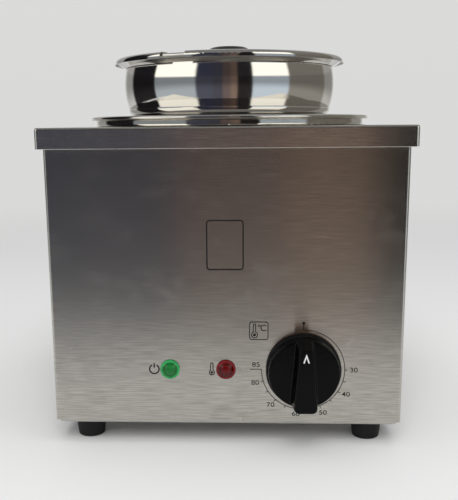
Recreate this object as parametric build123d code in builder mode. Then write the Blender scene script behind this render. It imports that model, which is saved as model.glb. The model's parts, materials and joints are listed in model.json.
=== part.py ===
from build123d import *
import os
from math import asin, cos, degrees, radians, sin, sqrt, tan

# Bain marie with one round pot: a heated water bath that holds a lift-out pot with a lid.
# Sizes are in millimetres. The origin lies on the table under the middle of the housing,
# with +X to the right of somebody who faces the control panel, +Y to the back and +Z up.

# Driving sizes: housing and base
body_width = 232.0
body_depth = 232.0
body_height = 196.5
sheet = 0.8
bend = 2.0
flange = 14.0
corner_relief = 3.2
relief_height = 1.5
base_thickness = 1.0
base_inset = 3.0
vent_length = 34.0
vent_width = 4.0
vent_pitch = 12.0

# Driving sizes: top cover
overhang = 4.0
skirt_height = 13.5
skirt_bend = 1.6
skirt_gap = 0.5
collar_height = 5.6
collar_lip = 4.5
cover_bracket_length = 60.0
cover_bracket_leg = 10.0

# Driving sizes: feet
foot_height = 14.5
foot_top_radius = 10.8
foot_bottom_radius = 9.1
foot_inset = 20.0
foot_recess = 8.0
foot_hole = 4.6
foot_round = 1.2
foot_screw_length = 13.0
foot_nut_flats = 7.0
foot_nut_height = 3.2

# Driving sizes: water well and its heating
well_radius = 94.0
well_lip = 8.0
well_depth = 133.4
well_corner = 12.0
well_lip_bend = 2.5
spreader_margin = 20.0
spreader_thickness = 3.0
element_margin = 16.0
element_tube = 4.0
element_gap = 9.0
element_tail = 8.0
clamp_margin = 5.0
clamp_thickness = 1.2
shield_margin = 2.0
shield_drop = 20.0
stud_margin = 20.0
stud_radius = 2.4
stud_nut_flats = 8.0
jacket_thickness = 9.0
jacket_gap = 5.8
pin_radius = 1.5
pin_length = 9.0
bulb_radius = 3.0
bulb_half = 30.0
capillary_radius = 0.8
cut_out_margin = 11.24
cut_out_angle = 145.008
cut_out_height = 10.0
cut_out_radius = 7.0
cut_out_length = 27.0
cut_out_tab_step = 3.5
cut_out_tab_length = 8.0

# Driving sizes: support ring, pot and lid
ring_overhang = 3.7
ring_plate = 1.0
ring_roll = 1.55
pot_radius = 68.0
water_gap = 15.0
pot_corner = 10.0
pot_clearance = 1.0
bowl_step = 9.4
bowl_belly = 2.6
bowl_mouth = 1.2
bowl_shoulder = 5.5
bowl_belly_height = 21.6
bowl_mouth_height = 35.2
bead_radius = 1.45
bead_flare = 4.45
bead_rise = 4.25
lid_side_gap = 1.1
lid_skirt = 4.4
lid_recess = 7.2
lid_bend = 2.0
lid_rim_bend = 3.0
lid_clearance = 0.3
notch_width = 18.9
notch_depth = 17.0
notch_angle = 24.9
lid_knob_radius = 18.5
lid_knob_foot = 14.0
lid_knob_height = 16.3
lid_knob_round = 8.5
lid_screw_radius = 2.0
lid_screw_length = 10.0
washer_radius = 6.0

# Driving sizes: control panel
control_height = 37.9
knob_x = 50.9
green_x = -37.5
red_x = -0.3
knob_radius = 24.8
knob_rim = 2.2
knob_chamfer = 1.8
knob_face = 10.4
knob_height = 25.0
knob_gap = 1.0
grip_margin = 0.2
grip_top_width = 11.2
grip_bottom_width = 18.8
grip_draft = 1.6
grip_bottom_round = 5.0
grip_top_round = 2.8
pointer_height = 18.5
pointer_length = 5.8
pointer_half = 2.0
pointer_stroke = 0.75
boss_radius = 7.0
knob_wall = 2.0
bore_end = 7.0
shaft_radius = 3.0
shaft_flat = 1.6
shaft_play = 0.05
thermostat_width = 40.0
thermostat_height = 34.0
thermostat_depth = 26.0
thermostat_plate = 1.5
thermostat_screws_apart = 28.0
clip_width = 6.0
thermostat_tab = 9.0
tab_width = 6.3
lamp_flange = 1.3
lamp_dome = 3.4
lamp_barrel = 5.2
lamp_depth = 26.0
lamp_wall = 0.8
lamp_rim = 1.2
lamp_barrel_length = 7.0
lamp_nut_wall = 3.8
lamp_nut_height = 1.0
lamp_tab_step = 3.0
lamp_tab_length = 8.0
holder_gap = 3.0
neon_radius = 1.9
neon_tip = 0.8

# Driving sizes: mains inlet and wiring
gland_x = -75.0
gland_height = 32.0
gland_thread = 9.9
thread_depth = 0.9
gland_shoulder = 2.1
gland_hex = 5.0
gland_inner = 9.0
gland_mouth = 12.0
gland_bore_wall = 2.8
gland_reach = 25.0
locknut_height = 4.5
dome_hex = 9.0
dome_end = 6.0
seal_wall = 3.65
seal_seat = 5.0
cord_hole = 4.25
block_x = -70.0
block_y = 78.0
block_depth = 20.0
block_height = 18.0
pole_pitch = 10.0
pole_screw_radius = 2.1
earth_x = -30.0
earth_y = 92.0
lead_radius = 1.1

# Driving sizes: fasteners
screw_head = 3.6
screw_head_height = 2.2
low_head_height = 1.6
screw_shank = 1.9
small_head = 2.6
small_head_height = 1.8
small_shank = 1.5
nut_height = 4.0

# Clearances between fitted pieces
slip = 0.1
screw_play = 0.2

# Heights, faces and radii worked out from the sizes above
collar_radius = well_radius + well_lip
body_bottom = foot_height + base_thickness
cover_top = body_bottom + body_height
skirt_bottom = cover_top - skirt_height
cover_width = body_width + 2 * overhang
cover_depth = body_depth + 2 * overhang
inner_x = body_width / 2 - sheet
inner_y = body_depth / 2 - sheet
collar_top = cover_top + collar_height
well_top = collar_top + sheet
well_floor = well_top - well_depth
well_bottom = well_floor - sheet
ring_top = well_top + ring_plate
flat_floor = well_radius - well_corner
spreader_radius = flat_floor - spreader_margin
element_radius = spreader_radius - element_margin
stud_circle = element_radius - stud_margin
element_reach = spreader_radius + element_tail
ring_radius = collar_radius + ring_overhang
pot_depth = well_depth + ring_plate - water_gap
bowl_base_radius = pot_radius + bowl_step
bowl_belly_radius = bowl_base_radius + bowl_belly
bowl_mouth_radius = bowl_base_radius + bowl_mouth
bead_reach = bowl_mouth_radius + bead_flare
bead_height = bowl_mouth_height + bead_rise
lid_radius = bead_reach + bead_radius + lid_side_gap + sheet
cut_out_x = (spreader_radius + cut_out_margin) * cos(radians(cut_out_angle))
cut_out_y = (spreader_radius + cut_out_margin) * sin(radians(cut_out_angle))
knob_face_radius = knob_radius - knob_chamfer
grip_half = knob_face_radius - grip_margin
lamp_radius = lamp_barrel + lamp_flange
lamp_nut_radius = lamp_barrel + lamp_nut_wall
gland_flats = 2 * (gland_thread + gland_shoulder)
seal_radius = cord_hole + seal_wall
gland_bore = gland_thread - thread_depth - gland_bore_wall
control_z = body_bottom + control_height
gland_z = body_bottom + gland_height

# Planes of the front, rear and lower faces, with z outwards; on the rear one x runs to the left
panel = Plane(origin=(0, -body_depth / 2, 0), x_dir=(1, 0, 0), z_dir=(0, -1, 0))
back = Plane(origin=(0, body_depth / 2, 0), x_dir=(-1, 0, 0), z_dir=(0, 1, 0))
underside = Plane(origin=(0, 0, foot_height), x_dir=(1, 0, 0), z_dir=(0, 0, -1))

above = (Align.CENTER, Align.CENTER, Align.MIN)
below = (Align.CENTER, Align.CENTER, Align.MAX)


def places(plane, points):
    """Locations on a plane, each with its own z along the plane's normal."""
    return [plane.location * Location((x, y, 0)) for x, y in points]


def screws(spots, head_radius, head_height, shank_radius, shank_length):
    """Pan-head screws with a cross recess, with their heads on the outside of each place."""
    recess = head_radius * 0.55
    with BuildPart() as group:
        with Locations(*spots):
            Cylinder(head_radius, head_height, align=above)
        fillet(group.edges().filter_by(GeomType.CIRCLE).group_by(SortBy.RADIUS)[-1], 0.3)
        with Locations(*spots):
            Cylinder(shank_radius, shank_length, align=below)
        with Locations(*[spot * Location((0, 0, head_height)) for spot in spots]):
            Box(2 * recess, 0.8, 1.6, mode=Mode.SUBTRACT)
            Box(0.8, 2 * recess, 1.6, mode=Mode.SUBTRACT)
    return group


def nuts(spots, across_flats, height, hole_radius):
    """Hexagon nuts standing outwards from each place."""
    with BuildPart() as group:
        with BuildSketch(*[Plane(spot) for spot in spots]):
            RegularPolygon(across_flats / 2, 6, major_radius=False)
            Circle(hole_radius, mode=Mode.SUBTRACT)
        extrude(amount=height)
    return group


def easy_radii(points):
    """The largest sensible bend radius at each inner point of a lead's route."""
    radii = []
    for before, here, after in zip(points, points[1:], points[2:]):
        run_in = Vector(*here) - Vector(*before)
        run_out = Vector(*after) - Vector(*here)
        half_turn = radians(run_in.get_angle(run_out)) / 2
        radii.append(0.45 * min(run_in.length, run_out.length) / tan(half_turn))
    return radii


def leads(routes, radius):
    """Wires or thin tubes of round section, each along its own route."""
    with BuildPart() as wires:
        for points in routes:
            with BuildLine() as route:
                FilletPolyline(*points, radius=easy_radii(points))
            with BuildSketch(Plane(origin=route.line @ 0, z_dir=route.line % 0)):
                Circle(radius)
            sweep(path=route.line)
    return wires


def turning_plane(x, y, z):
    """A half-section plane for a piece turned about an axis along Y: radius first, then height."""
    return Plane(origin=(x, y, z), x_dir=(0, 0, 1), z_dir=(1, 0, 0))


# Places that several pieces share
lamp_spots = places(panel, [(green_x, control_z), (red_x, control_z)])
knob_spot = places(panel, [(knob_x, control_z)])
gland_spot = places(back, [(-gland_x, gland_z)])
thermostat_screw_spots = places(
    panel,
    [
        (knob_x - thermostat_screws_apart / 2, control_z),
        (knob_x + thermostat_screws_apart / 2, control_z),
    ],
)
rear_screw_x = body_width / 2 - flange / 2 - sheet / 2
rear_screw_heights = (body_bottom + 20, body_bottom + 92, body_bottom + 164)
rear_screw_spots = places(
    back, [(side * rear_screw_x, height) for side in (-1, 1) for height in rear_screw_heights]
)
base_screw_inset = flange - screw_head - 0.4
base_screw_edge = body_width / 2 - base_screw_inset
base_screw_depth = body_depth / 2 - base_screw_inset
base_screw_spots = places(
    underside,
    [(side * base_screw_edge, step * body_depth / 5) for side in (-1, 1) for step in (-1, 1)]
    + [(step * body_width / 5, side * base_screw_depth) for side in (-1, 1) for step in (-1, 1)],
)
foot_x = body_width / 2 - foot_inset
foot_y = body_depth / 2 - foot_inset
foot_points = [(x, y) for x in (-foot_x, foot_x) for y in (-foot_y, foot_y)]
thread_hole = screw_shank + slip
clearance_hole = screw_shank + screw_play

# Housing: front and two sides of one folded sheet, with narrow flanges behind and below
rear_fold = inner_y
with BuildPart() as housing_shell:
    with BuildSketch(Plane.XY.offset(body_bottom)):
        with Locations((0, (rear_fold - body_depth / 2) / 2)):
            RectangleRounded(body_width, body_depth / 2 + rear_fold, bend)
            RectangleRounded(
                body_width - 2 * sheet,
                body_depth / 2 + rear_fold - 2 * sheet,
                bend - sheet,
                mode=Mode.SUBTRACT,
            )
        with Locations((0, rear_fold)):
            Rectangle(body_width - 2 * flange, 4 * sheet, mode=Mode.SUBTRACT)
    extrude(amount=body_height - sheet)
    with BuildSketch(Plane.XY.offset(body_bottom)):
        with Locations((0, (rear_fold - body_depth / 2) / 2)):
            RectangleRounded(body_width, body_depth / 2 + rear_fold, bend)
        with Locations((0, flange / 2)):
            Rectangle(body_width - 2 * flange, body_depth - flange, mode=Mode.SUBTRACT)
    extrude(amount=sheet)
    lower_rim = housing_shell.faces().filter_by(Axis.Z).sort_by(Axis.Z)[0].outer_wire().edges()
    fillet(
        lower_rim.filter_by(GeomType.LINE).group_by(Axis.Y)[0]
        + lower_rim.filter_by(GeomType.LINE).group_by(Axis.X)[0]
        + lower_rim.filter_by(GeomType.LINE).group_by(Axis.X)[-1]
        + lower_rim.filter_by(GeomType.CIRCLE).group_by(Axis.Y)[0],
        skirt_bend - slip,
    )
    for side in (-1, 1):
        with Locations((side * body_width / 2, -body_depth / 2, body_bottom)):
            Box(2 * corner_relief, 2 * corner_relief, 2 * relief_height, mode=Mode.SUBTRACT)
    with Locations(*lamp_spots):
        Cylinder(lamp_barrel + slip, 4 * sheet, mode=Mode.SUBTRACT)
    with Locations(*knob_spot):
        Cylinder(shaft_radius + 2.2, 4 * sheet, mode=Mode.SUBTRACT)
    with Locations(*thermostat_screw_spots):
        Cylinder(clearance_hole, 4 * sheet, mode=Mode.SUBTRACT)
    with Locations(*rear_screw_spots, *base_screw_spots[:4]):
        Cylinder(thread_hole, 8 * sheet, mode=Mode.SUBTRACT)
    with Locations(*[spot for spot in base_screw_spots[4:] if spot.position.Y < 0]):
        Cylinder(thread_hole, 8 * sheet, mode=Mode.SUBTRACT)

# Rear panel: screwed onto the housing's rear flanges, with its own foot flange below
rear_panel_half = body_width / 2 - bend
rear_panel_top = cover_top - 2 * sheet
with BuildPart() as rear_panel:
    with BuildSketch(Plane.XZ.offset(-inner_y)):
        with Locations((0, (body_bottom + rear_panel_top) / 2)):
            RectangleRounded(2 * rear_panel_half, rear_panel_top - body_bottom, bend)
    extrude(amount=-sheet)
    foot_flange_half = body_width / 2 - flange - bend
    with Locations((0, inner_y - flange / 2, body_bottom + sheet / 2)):
        Box(2 * foot_flange_half, flange, sheet)
    with Locations(*rear_screw_spots):
        Cylinder(clearance_hole, 4 * sheet, mode=Mode.SUBTRACT)
    with Locations(*[spot for spot in base_screw_spots[4:] if spot.position.Y > 0]):
        Cylinder(thread_hole, 8 * sheet, mode=Mode.SUBTRACT)
    with Locations(*gland_spot):
        Cylinder(gland_thread + screw_play, 4 * sheet, mode=Mode.SUBTRACT)
    with BuildSketch(Plane.XZ.offset(-inner_y)):
        with Locations((28, body_bottom + 30)):
            with GridLocations(vent_pitch, 0, 7, 1):
                SlotOverall(vent_length - 6, vent_width, rotation=90)
    extrude(amount=-sheet, mode=Mode.SUBTRACT)

# Base plate: under the flanges, with cooling slots
base_width = body_width - 2 * base_inset
base_depth = body_depth - 2 * base_inset
with BuildPart() as base_plate:
    with BuildSketch(Plane.XY.offset(foot_height)):
        RectangleRounded(base_width, base_depth, base_inset)
        with GridLocations(vent_pitch, vent_length + 12, 9, 2):
            SlotOverall(vent_length, vent_width, rotation=90, mode=Mode.SUBTRACT)
    extrude(amount=base_thickness)
    with Locations(*base_screw_spots):
        Cylinder(clearance_hole, 4 * base_thickness, mode=Mode.SUBTRACT)
    with Locations(*[(x, y, foot_height) for x, y in foot_points]):
        Cylinder(clearance_hole, 4 * base_thickness, mode=Mode.SUBTRACT)

# Top cover: deck, skirt with an inward hem, and a drawn collar
with BuildPart() as top_cover:
    with BuildSketch(Plane.XY.offset(skirt_bottom)):
        RectangleRounded(cover_width, cover_depth, bend)
    extrude(amount=skirt_height)
    fillet(top_cover.faces().sort_by(Axis.Z)[-1].edges(), skirt_bend)
    with BuildSketch(Plane.XY.offset(skirt_bottom)):
        RectangleRounded(cover_width - 2 * sheet, cover_depth - 2 * sheet, bend - sheet)
    extrude(amount=skirt_height - sheet, mode=Mode.SUBTRACT)
    with BuildSketch(Plane.XY.offset(skirt_bottom)):
        RectangleRounded(cover_width, cover_depth, bend)
        RectangleRounded(body_width + 2 * skirt_gap, body_depth + 2 * skirt_gap, bend, mode=Mode.SUBTRACT)
    extrude(amount=sheet)
    hem = top_cover.faces().filter_by(Axis.Z).sort_by(Axis.Z)[0].outer_wire().edges()
    fillet(hem, sheet / 2)
    with Locations((0, 0, cover_top)):
        Cylinder(collar_radius + 2 * skirt_bend, 4 * sheet, mode=Mode.SUBTRACT)
    with BuildSketch(Plane.XZ):
        with BuildLine():
            FilletPolyline(
                (collar_radius - collar_lip, collar_top),
                (collar_radius, collar_top),
                (collar_radius, cover_top),
                (collar_radius + 2 * skirt_bend, cover_top),
                radius=[skirt_bend, skirt_bend],
            )
            offset(amount=sheet, side=Side.RIGHT)
        make_face()
    revolve(axis=Axis.Z)

# Angle brackets, spot-welded between the housing's sides and the deck
with BuildPart() as cover_brackets:
    for side in (-1, 1):
        with Locations((side * (inner_x - sheet / 2), 0, cover_top - sheet)):
            Box(sheet, cover_bracket_length, cover_bracket_leg, align=below)
        with Locations((side * (inner_x - sheet - cover_bracket_leg / 2 + sheet / 2), 0, cover_top - sheet)):
            Box(cover_bracket_leg - sheet, cover_bracket_length, sheet, align=below)

rear_panel_screws = screws(rear_screw_spots, screw_head, screw_head_height, screw_shank, 7.0)
base_screws = screws(base_screw_spots, screw_head, low_head_height, screw_shank, 6.0)

# Feet: tapered rubber, recessed for their screws
with BuildPart() as feet:
    with Locations(*foot_points):
        Cone(foot_bottom_radius, foot_top_radius, foot_height, align=above)
    soles = feet.faces().group_by(Axis.Z)[0].edges()
    fillet(soles, foot_round)
    with Locations(*foot_points):
        Cylinder(foot_hole, foot_recess, align=above, mode=Mode.SUBTRACT)
        Cylinder(screw_shank + screw_play, 3 * foot_height, mode=Mode.SUBTRACT)

foot_seats = places(Plane(origin=(0, 0, foot_recess), x_dir=(1, 0, 0), z_dir=(0, 0, -1)), foot_points)
foot_screws = screws(foot_seats, screw_head, screw_head_height, screw_shank, foot_screw_length)
foot_nut_spots = places(Plane.XY.offset(body_bottom), foot_points)
foot_nuts = nuts(foot_nut_spots, foot_nut_flats, foot_nut_height, thread_hole)

# Water well: deep-drawn bath that hangs by its lip in the collar
with BuildPart() as water_well:
    with BuildSketch(Plane.XZ):
        with BuildLine():
            FilletPolyline(
                (collar_radius - skirt_bend, collar_top),
                (well_radius, collar_top),
                (well_radius, well_bottom),
                (0, well_bottom),
                radius=[well_lip_bend, well_corner],
            )
            offset(amount=sheet, side=Side.RIGHT)
        make_face()
    revolve(axis=Axis.Z)

# Heating under the well: spreader, element, clamp plate and heat shield on three studs
stud_points = [
    (stud_circle * cos(radians(turn)), stud_circle * sin(radians(turn))) for turn in (90, 210, 330)
]
mirrored_points = [(x, -y) for x, y in stud_points]
spreader_bottom = well_bottom - spreader_thickness
element_z = spreader_bottom - element_tube
clamp_top = element_z - element_tube
shield_top = clamp_top - clamp_thickness - shield_drop + 2 * element_tube
with BuildPart() as heat_spreader:
    with BuildSketch(Plane.XY.offset(spreader_bottom)):
        Circle(spreader_radius)
        with Locations(*stud_points):
            Circle(stud_radius + screw_play, mode=Mode.SUBTRACT)
    extrude(amount=spreader_thickness)
    fillet(heat_spreader.edges().filter_by(GeomType.CIRCLE).group_by(SortBy.RADIUS)[-1], 0.5)

# Tubular element: one turn, its two ends led out to the back
end_bend = element_tube * 2.5
outer_reach = sqrt((element_radius + end_bend) ** 2 - (element_gap + end_bend) ** 2)
share = element_radius / (element_radius + end_bend)
with BuildPart() as heating_element:
    with BuildLine(Plane.XY.offset(element_z)) as element_path:
        Line((element_gap, element_reach), (element_gap, outer_reach))
        RadiusArc(
            (element_gap, outer_reach),
            (share * (element_gap + end_bend), share * outer_reach),
            -end_bend,
        )
        ThreePointArc(
            (share * (element_gap + end_bend), share * outer_reach),
            (0, -element_radius),
            (-share * (element_gap + end_bend), share * outer_reach),
        )
        RadiusArc(
            (-share * (element_gap + end_bend), share * outer_reach),
            (-element_gap, outer_reach),
            -end_bend,
        )
        Line((-element_gap, outer_reach), (-element_gap, element_reach))
    with BuildSketch(Plane(origin=(element_gap, element_reach, element_z), z_dir=(0, -1, 0))):
        Circle(element_tube)
    sweep()

# Clamp plate under the element and the heat shield below it, both hung on the studs
with BuildPart() as element_clamp:
    with BuildSketch(Plane.XY.offset(clamp_top - clamp_thickness)):
        Circle(spreader_radius - clamp_margin)
        with Locations(*stud_points):
            Circle(stud_radius + screw_play, mode=Mode.SUBTRACT)
    extrude(amount=clamp_thickness)

with BuildPart() as heat_shield:
    with BuildSketch(Plane.XY.offset(shield_top - sheet)):
        Circle(spreader_radius - shield_margin)
        with Locations(*stud_points):
            Circle(stud_radius + screw_play, mode=Mode.SUBTRACT)
    extrude(amount=sheet)

with BuildPart() as well_studs:
    with Locations(*[(x, y, well_bottom) for x, y in stud_points]):
        Cylinder(stud_radius, well_bottom - shield_top + sheet + nut_height + 2, align=below)
down_from_clamp = Plane(origin=(0, 0, clamp_top - clamp_thickness), x_dir=(1, 0, 0), z_dir=(0, 0, -1))
down_from_shield = Plane(origin=(0, 0, shield_top - sheet), x_dir=(1, 0, 0), z_dir=(0, 0, -1))
stud_hole = stud_radius + slip
clamp_nuts = nuts(places(down_from_clamp, mirrored_points), stud_nut_flats, nut_height, stud_hole)
spacer_length = clamp_top - clamp_thickness - nut_height - shield_top
spacer_spots = places(Plane.XY.offset(shield_top), stud_points)
shield_spacers = nuts(spacer_spots, stud_nut_flats - 1, spacer_length, stud_hole)
shield_nuts = nuts(places(down_from_shield, mirrored_points), stud_nut_flats, nut_height, stud_hole)

# Cold pins and ceramic beads in the element's two ends
with BuildPart() as element_pins:
    pin_plane = Plane(origin=(0, element_reach, element_z), x_dir=(1, 0, 0), z_dir=(0, 1, 0))
    with Locations(*places(pin_plane, [(-element_gap, 0), (element_gap, 0)])):
        Cylinder(element_tube - 0.6, pin_length / 3, align=above)
        Cylinder(pin_radius, pin_length, align=above)

# Insulation jacket round the well's wall
jacket_bottom = well_bottom + well_corner + 2
with BuildPart() as well_jacket:
    with BuildSketch(Plane.XY.offset(jacket_bottom)):
        Circle(well_radius + lid_clearance + jacket_thickness)
        Circle(well_radius + lid_clearance, mode=Mode.SUBTRACT)
    extrude(amount=cover_top - jacket_gap - jacket_bottom)

# Support ring: flat plate with a rolled edge that drops over the collar
ring_opening = pot_radius + pot_clearance
roll_centre = (ring_radius - ring_roll, ring_top - ring_roll)
with BuildPart() as support_ring:
    with BuildSketch(Plane.XZ) as ring_section:
        with Locations(((ring_opening + roll_centre[0]) / 2, ring_top - ring_plate / 2)):
            Rectangle(roll_centre[0] - ring_opening, ring_plate)
        fillet(ring_section.vertices().group_by(Axis.X)[0], ring_plate * 0.4)
        with Locations(roll_centre):
            Circle(ring_roll)
    revolve(axis=Axis.Z)

# Pot: straight body through the ring, shoulder on the ring, barrel-shaped bowl, rolled bead
pot_bottom = ring_top - pot_depth
with BuildPart() as pot:
    with BuildSketch(Plane.XZ):
        with BuildLine():
            FilletPolyline(
                (0, pot_bottom),
                (pot_radius, pot_bottom),
                (pot_radius, ring_top),
                (bowl_base_radius, ring_top),
                (bowl_base_radius, ring_top + bowl_shoulder + 0.4),
                radius=[pot_corner, pot_clearance / 2, bowl_shoulder],
            )
            ThreePointArc(
                (bowl_base_radius, ring_top + bowl_shoulder + 0.4),
                (bowl_belly_radius, ring_top + bowl_belly_height),
                (bowl_mouth_radius, ring_top + bowl_mouth_height),
            )
            Line(
                (bowl_mouth_radius, ring_top + bowl_mouth_height),
                (bead_reach, ring_top + bead_height - bead_radius),
            )
            offset(amount=sheet, side=Side.LEFT)
        make_face()
    revolve(axis=Axis.Z)
    with BuildSketch(Plane.XZ):
        with Locations((bead_reach, ring_top + bead_height)):
            Circle(bead_radius)
    revolve(axis=Axis.Z)

# Lid: rolled-down rim, recess that drops into the bowl, and a notch for a ladle
pot_bead_top = ring_top + bead_height + bead_radius
lid_top = pot_bead_top + lid_clearance + sheet
lid_plug = bowl_mouth_radius - 3 * sheet
notch_round = notch_width / 2
with BuildPart() as lid:
    with BuildSketch(Plane.XZ):
        with BuildLine():
            FilletPolyline(
                (0, lid_top - lid_recess),
                (lid_plug, lid_top - lid_recess),
                (lid_plug, lid_top),
                (lid_radius, lid_top),
                (lid_radius, lid_top - lid_skirt),
                radius=[lid_bend, lid_bend - sheet, lid_rim_bend],
            )
            offset(amount=sheet, side=Side.RIGHT)
        make_face()
    revolve(axis=Axis.Z)
    with BuildSketch(Plane.XY.offset(lid_top + 1).rotated((0, 0, -90 - notch_angle))):
        with Locations((lid_radius + notch_round, 0)):
            SlotOverall(2 * (notch_depth + notch_round), notch_width)
    extrude(amount=-(lid_recess + 2 * sheet + 1), mode=Mode.SUBTRACT)
    with Locations((0, 0, lid_top - lid_recess)):
        Cylinder(lid_screw_radius + screw_play, 4 * sheet, mode=Mode.SUBTRACT)

# Lid knob: moulded, standing in the lid's recess
knob_seat = lid_top - lid_recess
with BuildPart() as lid_knob:
    with BuildSketch(Plane.XZ):
        with BuildLine():
            FilletPolyline(
                (0, knob_seat),
                (lid_knob_foot, knob_seat),
                (lid_knob_radius, knob_seat + lid_knob_height * 0.35),
                (lid_knob_radius, knob_seat + lid_knob_height),
                (0, knob_seat + lid_knob_height),
                radius=[1.0, 2.0, lid_knob_round],
            )
            Line((0, knob_seat + lid_knob_height), (0, knob_seat))
        make_face()
    revolve(axis=Axis.Z)
    with Locations((0, 0, knob_seat)):
        Cylinder(lid_screw_radius + slip, lid_screw_length, align=above, mode=Mode.SUBTRACT)

under_washer = Plane(origin=(0, 0, knob_seat - 2 * sheet), x_dir=(1, 0, 0), z_dir=(0, 0, -1))
under_lid = places(under_washer, [(0, 0)])
lid_knob_screw = screws(under_lid, screw_head, screw_head_height, lid_screw_radius, lid_screw_length)
with BuildPart() as lid_knob_washer:
    with Locations((0, 0, knob_seat - sheet)):
        Cylinder(washer_radius, sheet, align=below)
        Cylinder(lid_screw_radius + screw_play, 4 * sheet, mode=Mode.SUBTRACT)

# Control knob: skirted drum with a raised grip bar, hollow behind, with a D-shaped bore.
# Its white pointer is set flush in the grip.
knob_plane = panel.offset(knob_gap)
knob_centre = (knob_x, control_z)
bore_depth = knob_height - knob_gap - bore_end
pointer_foot = control_z + pointer_height - pointer_length
with BuildPart() as knob_pointer:
    with BuildSketch(panel.offset(knob_height)):
        with BuildLine():
            Polyline(
                (knob_x - pointer_half, pointer_foot),
                (knob_x, control_z + pointer_height),
                (knob_x + pointer_half, pointer_foot),
            )
            offset(amount=pointer_stroke, side=Side.RIGHT)
        make_face()
    extrude(amount=-pointer_stroke / 2)
with BuildPart() as control_knob:
    with BuildSketch(knob_plane):
        with Locations(knob_centre):
            Circle(knob_radius)
    extrude(amount=knob_rim)
    fillet(control_knob.faces().sort_by(Axis.Y)[0].edges(), 0.7)
    with BuildSketch(panel.offset(knob_gap + knob_rim)):
        with Locations(knob_centre):
            Circle(knob_radius - 0.9)
    drum_height = knob_face - knob_gap - knob_rim
    drum_taper = degrees(asin((knob_radius - 0.9 - knob_face_radius) / drum_height))
    extrude(amount=drum_height, taper=drum_taper)
    fillet(control_knob.faces().sort_by(Axis.Y)[0].edges(), 1.4)
    with BuildSketch(panel.offset(knob_face)) as grip_foot:
        with Locations(knob_centre):
            Polygon(
                (grip_top_width / 2, grip_half),
                (-grip_top_width / 2, grip_half),
                (-grip_bottom_width / 2, -grip_half),
                (grip_bottom_width / 2, -grip_half),
                align=None,
            )
        fillet(grip_foot.vertices().group_by(Axis.Y)[0], grip_bottom_round)
        fillet(grip_foot.vertices().group_by(Axis.Y)[-1], grip_top_round)
    grip_rise = knob_height - knob_face
    extrude(amount=grip_rise, taper=degrees(asin(grip_draft / grip_rise)))
    extrude(grip_foot.sketch, amount=-drum_height)
    fillet(control_knob.faces().sort_by(Axis.Y)[0].edges(), 0.8)
    with BuildSketch(knob_plane):
        with Locations(knob_centre):
            Circle(knob_face_radius - knob_wall)
            Circle(boss_radius, mode=Mode.SUBTRACT)
    extrude(amount=knob_face - knob_gap - knob_wall, mode=Mode.SUBTRACT)
    with BuildSketch(knob_plane) as knob_bore:
        with Locations(knob_centre):
            Circle(shaft_radius + shaft_play)
        with Locations((knob_x, control_z - shaft_radius)):
            Rectangle(4 * shaft_radius, 2 * (shaft_radius - shaft_flat) - 2 * slip, mode=Mode.SUBTRACT)
    extrude(amount=bore_depth, mode=Mode.SUBTRACT)
    add(knob_pointer.part, mode=Mode.SUBTRACT)

# Spring ring round the knob's boss
with BuildPart() as knob_spring_ring:
    with BuildSketch(panel.offset(knob_gap + 2.0)):
        with Locations(knob_centre):
            Circle(boss_radius + 1.1)
            Circle(boss_radius + slip / 2, mode=Mode.SUBTRACT)
            with Locations((0, boss_radius)):
                Rectangle(3.0, 4.0, mode=Mode.SUBTRACT)
    extrude(amount=1.2)

# Thermostat: bracket with a bush behind the panel, body, shaft and terminals
with BuildPart() as thermostat_bracket:
    with BuildSketch(panel.offset(-sheet)):
        with Locations(knob_centre):
            RectangleRounded(thermostat_width + 4, thermostat_height / 2 + 4, 3)
    extrude(amount=-thermostat_plate)
    with Locations(*knob_spot):
        Cylinder(shaft_radius + 2.0, sheet, align=below)
        Cylinder(shaft_radius + shaft_play, 4 * thermostat_plate, mode=Mode.SUBTRACT)
    with Locations(*thermostat_screw_spots):
        Cylinder(thread_hole, 8 * sheet, mode=Mode.SUBTRACT)
body_face = -(sheet + thermostat_plate)
with BuildPart() as thermostat_body:
    with BuildSketch(panel.offset(body_face)):
        with Locations(knob_centre):
            RectangleRounded(thermostat_width, thermostat_height, 3)
    extrude(amount=-thermostat_depth)
    fillet(thermostat_body.faces().sort_by(Axis.Y)[-1].edges(), 1.5)
    with BuildSketch(panel.offset(body_face)):
        with Locations(knob_centre):
            Circle(shaft_radius + shaft_play)
    extrude(amount=-16, mode=Mode.SUBTRACT)
    with BuildSketch(panel.offset(body_face)):
        with Locations(*[(knob_x + side * thermostat_screws_apart / 2, control_z) for side in (-1, 1)]):
            Circle(screw_shank + 2 * screw_play)
    extrude(amount=-5, mode=Mode.SUBTRACT)
thermostat_screws = screws(thermostat_screw_spots, screw_head, screw_head_height, screw_shank, 5.0)
with BuildPart() as thermostat_shaft:
    with BuildSketch(panel.offset(body_face - 15.5)):
        with Locations(knob_centre):
            Circle(shaft_radius)
    extrude(amount=15.5 - body_face + knob_gap + bore_depth - 0.5)
    with BuildSketch(panel.offset(knob_gap)):
        with Locations((knob_x, control_z - shaft_radius)):
            Rectangle(4 * shaft_radius, 2 * (shaft_radius - shaft_flat), mode=Mode.ADD)
    extrude(amount=knob_height, mode=Mode.SUBTRACT)
tab_plane = panel.offset(body_face - thermostat_depth)
tab_z = control_z - thermostat_height / 4
thermostat_tab_x = [knob_x + step * thermostat_width / 3.6 for step in (-1, 0, 1)]
with BuildPart() as thermostat_tabs:
    with Locations(*places(tab_plane, [(x, tab_z) for x in thermostat_tab_x])):
        Box(tab_width, sheet, thermostat_tab, align=below)

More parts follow.
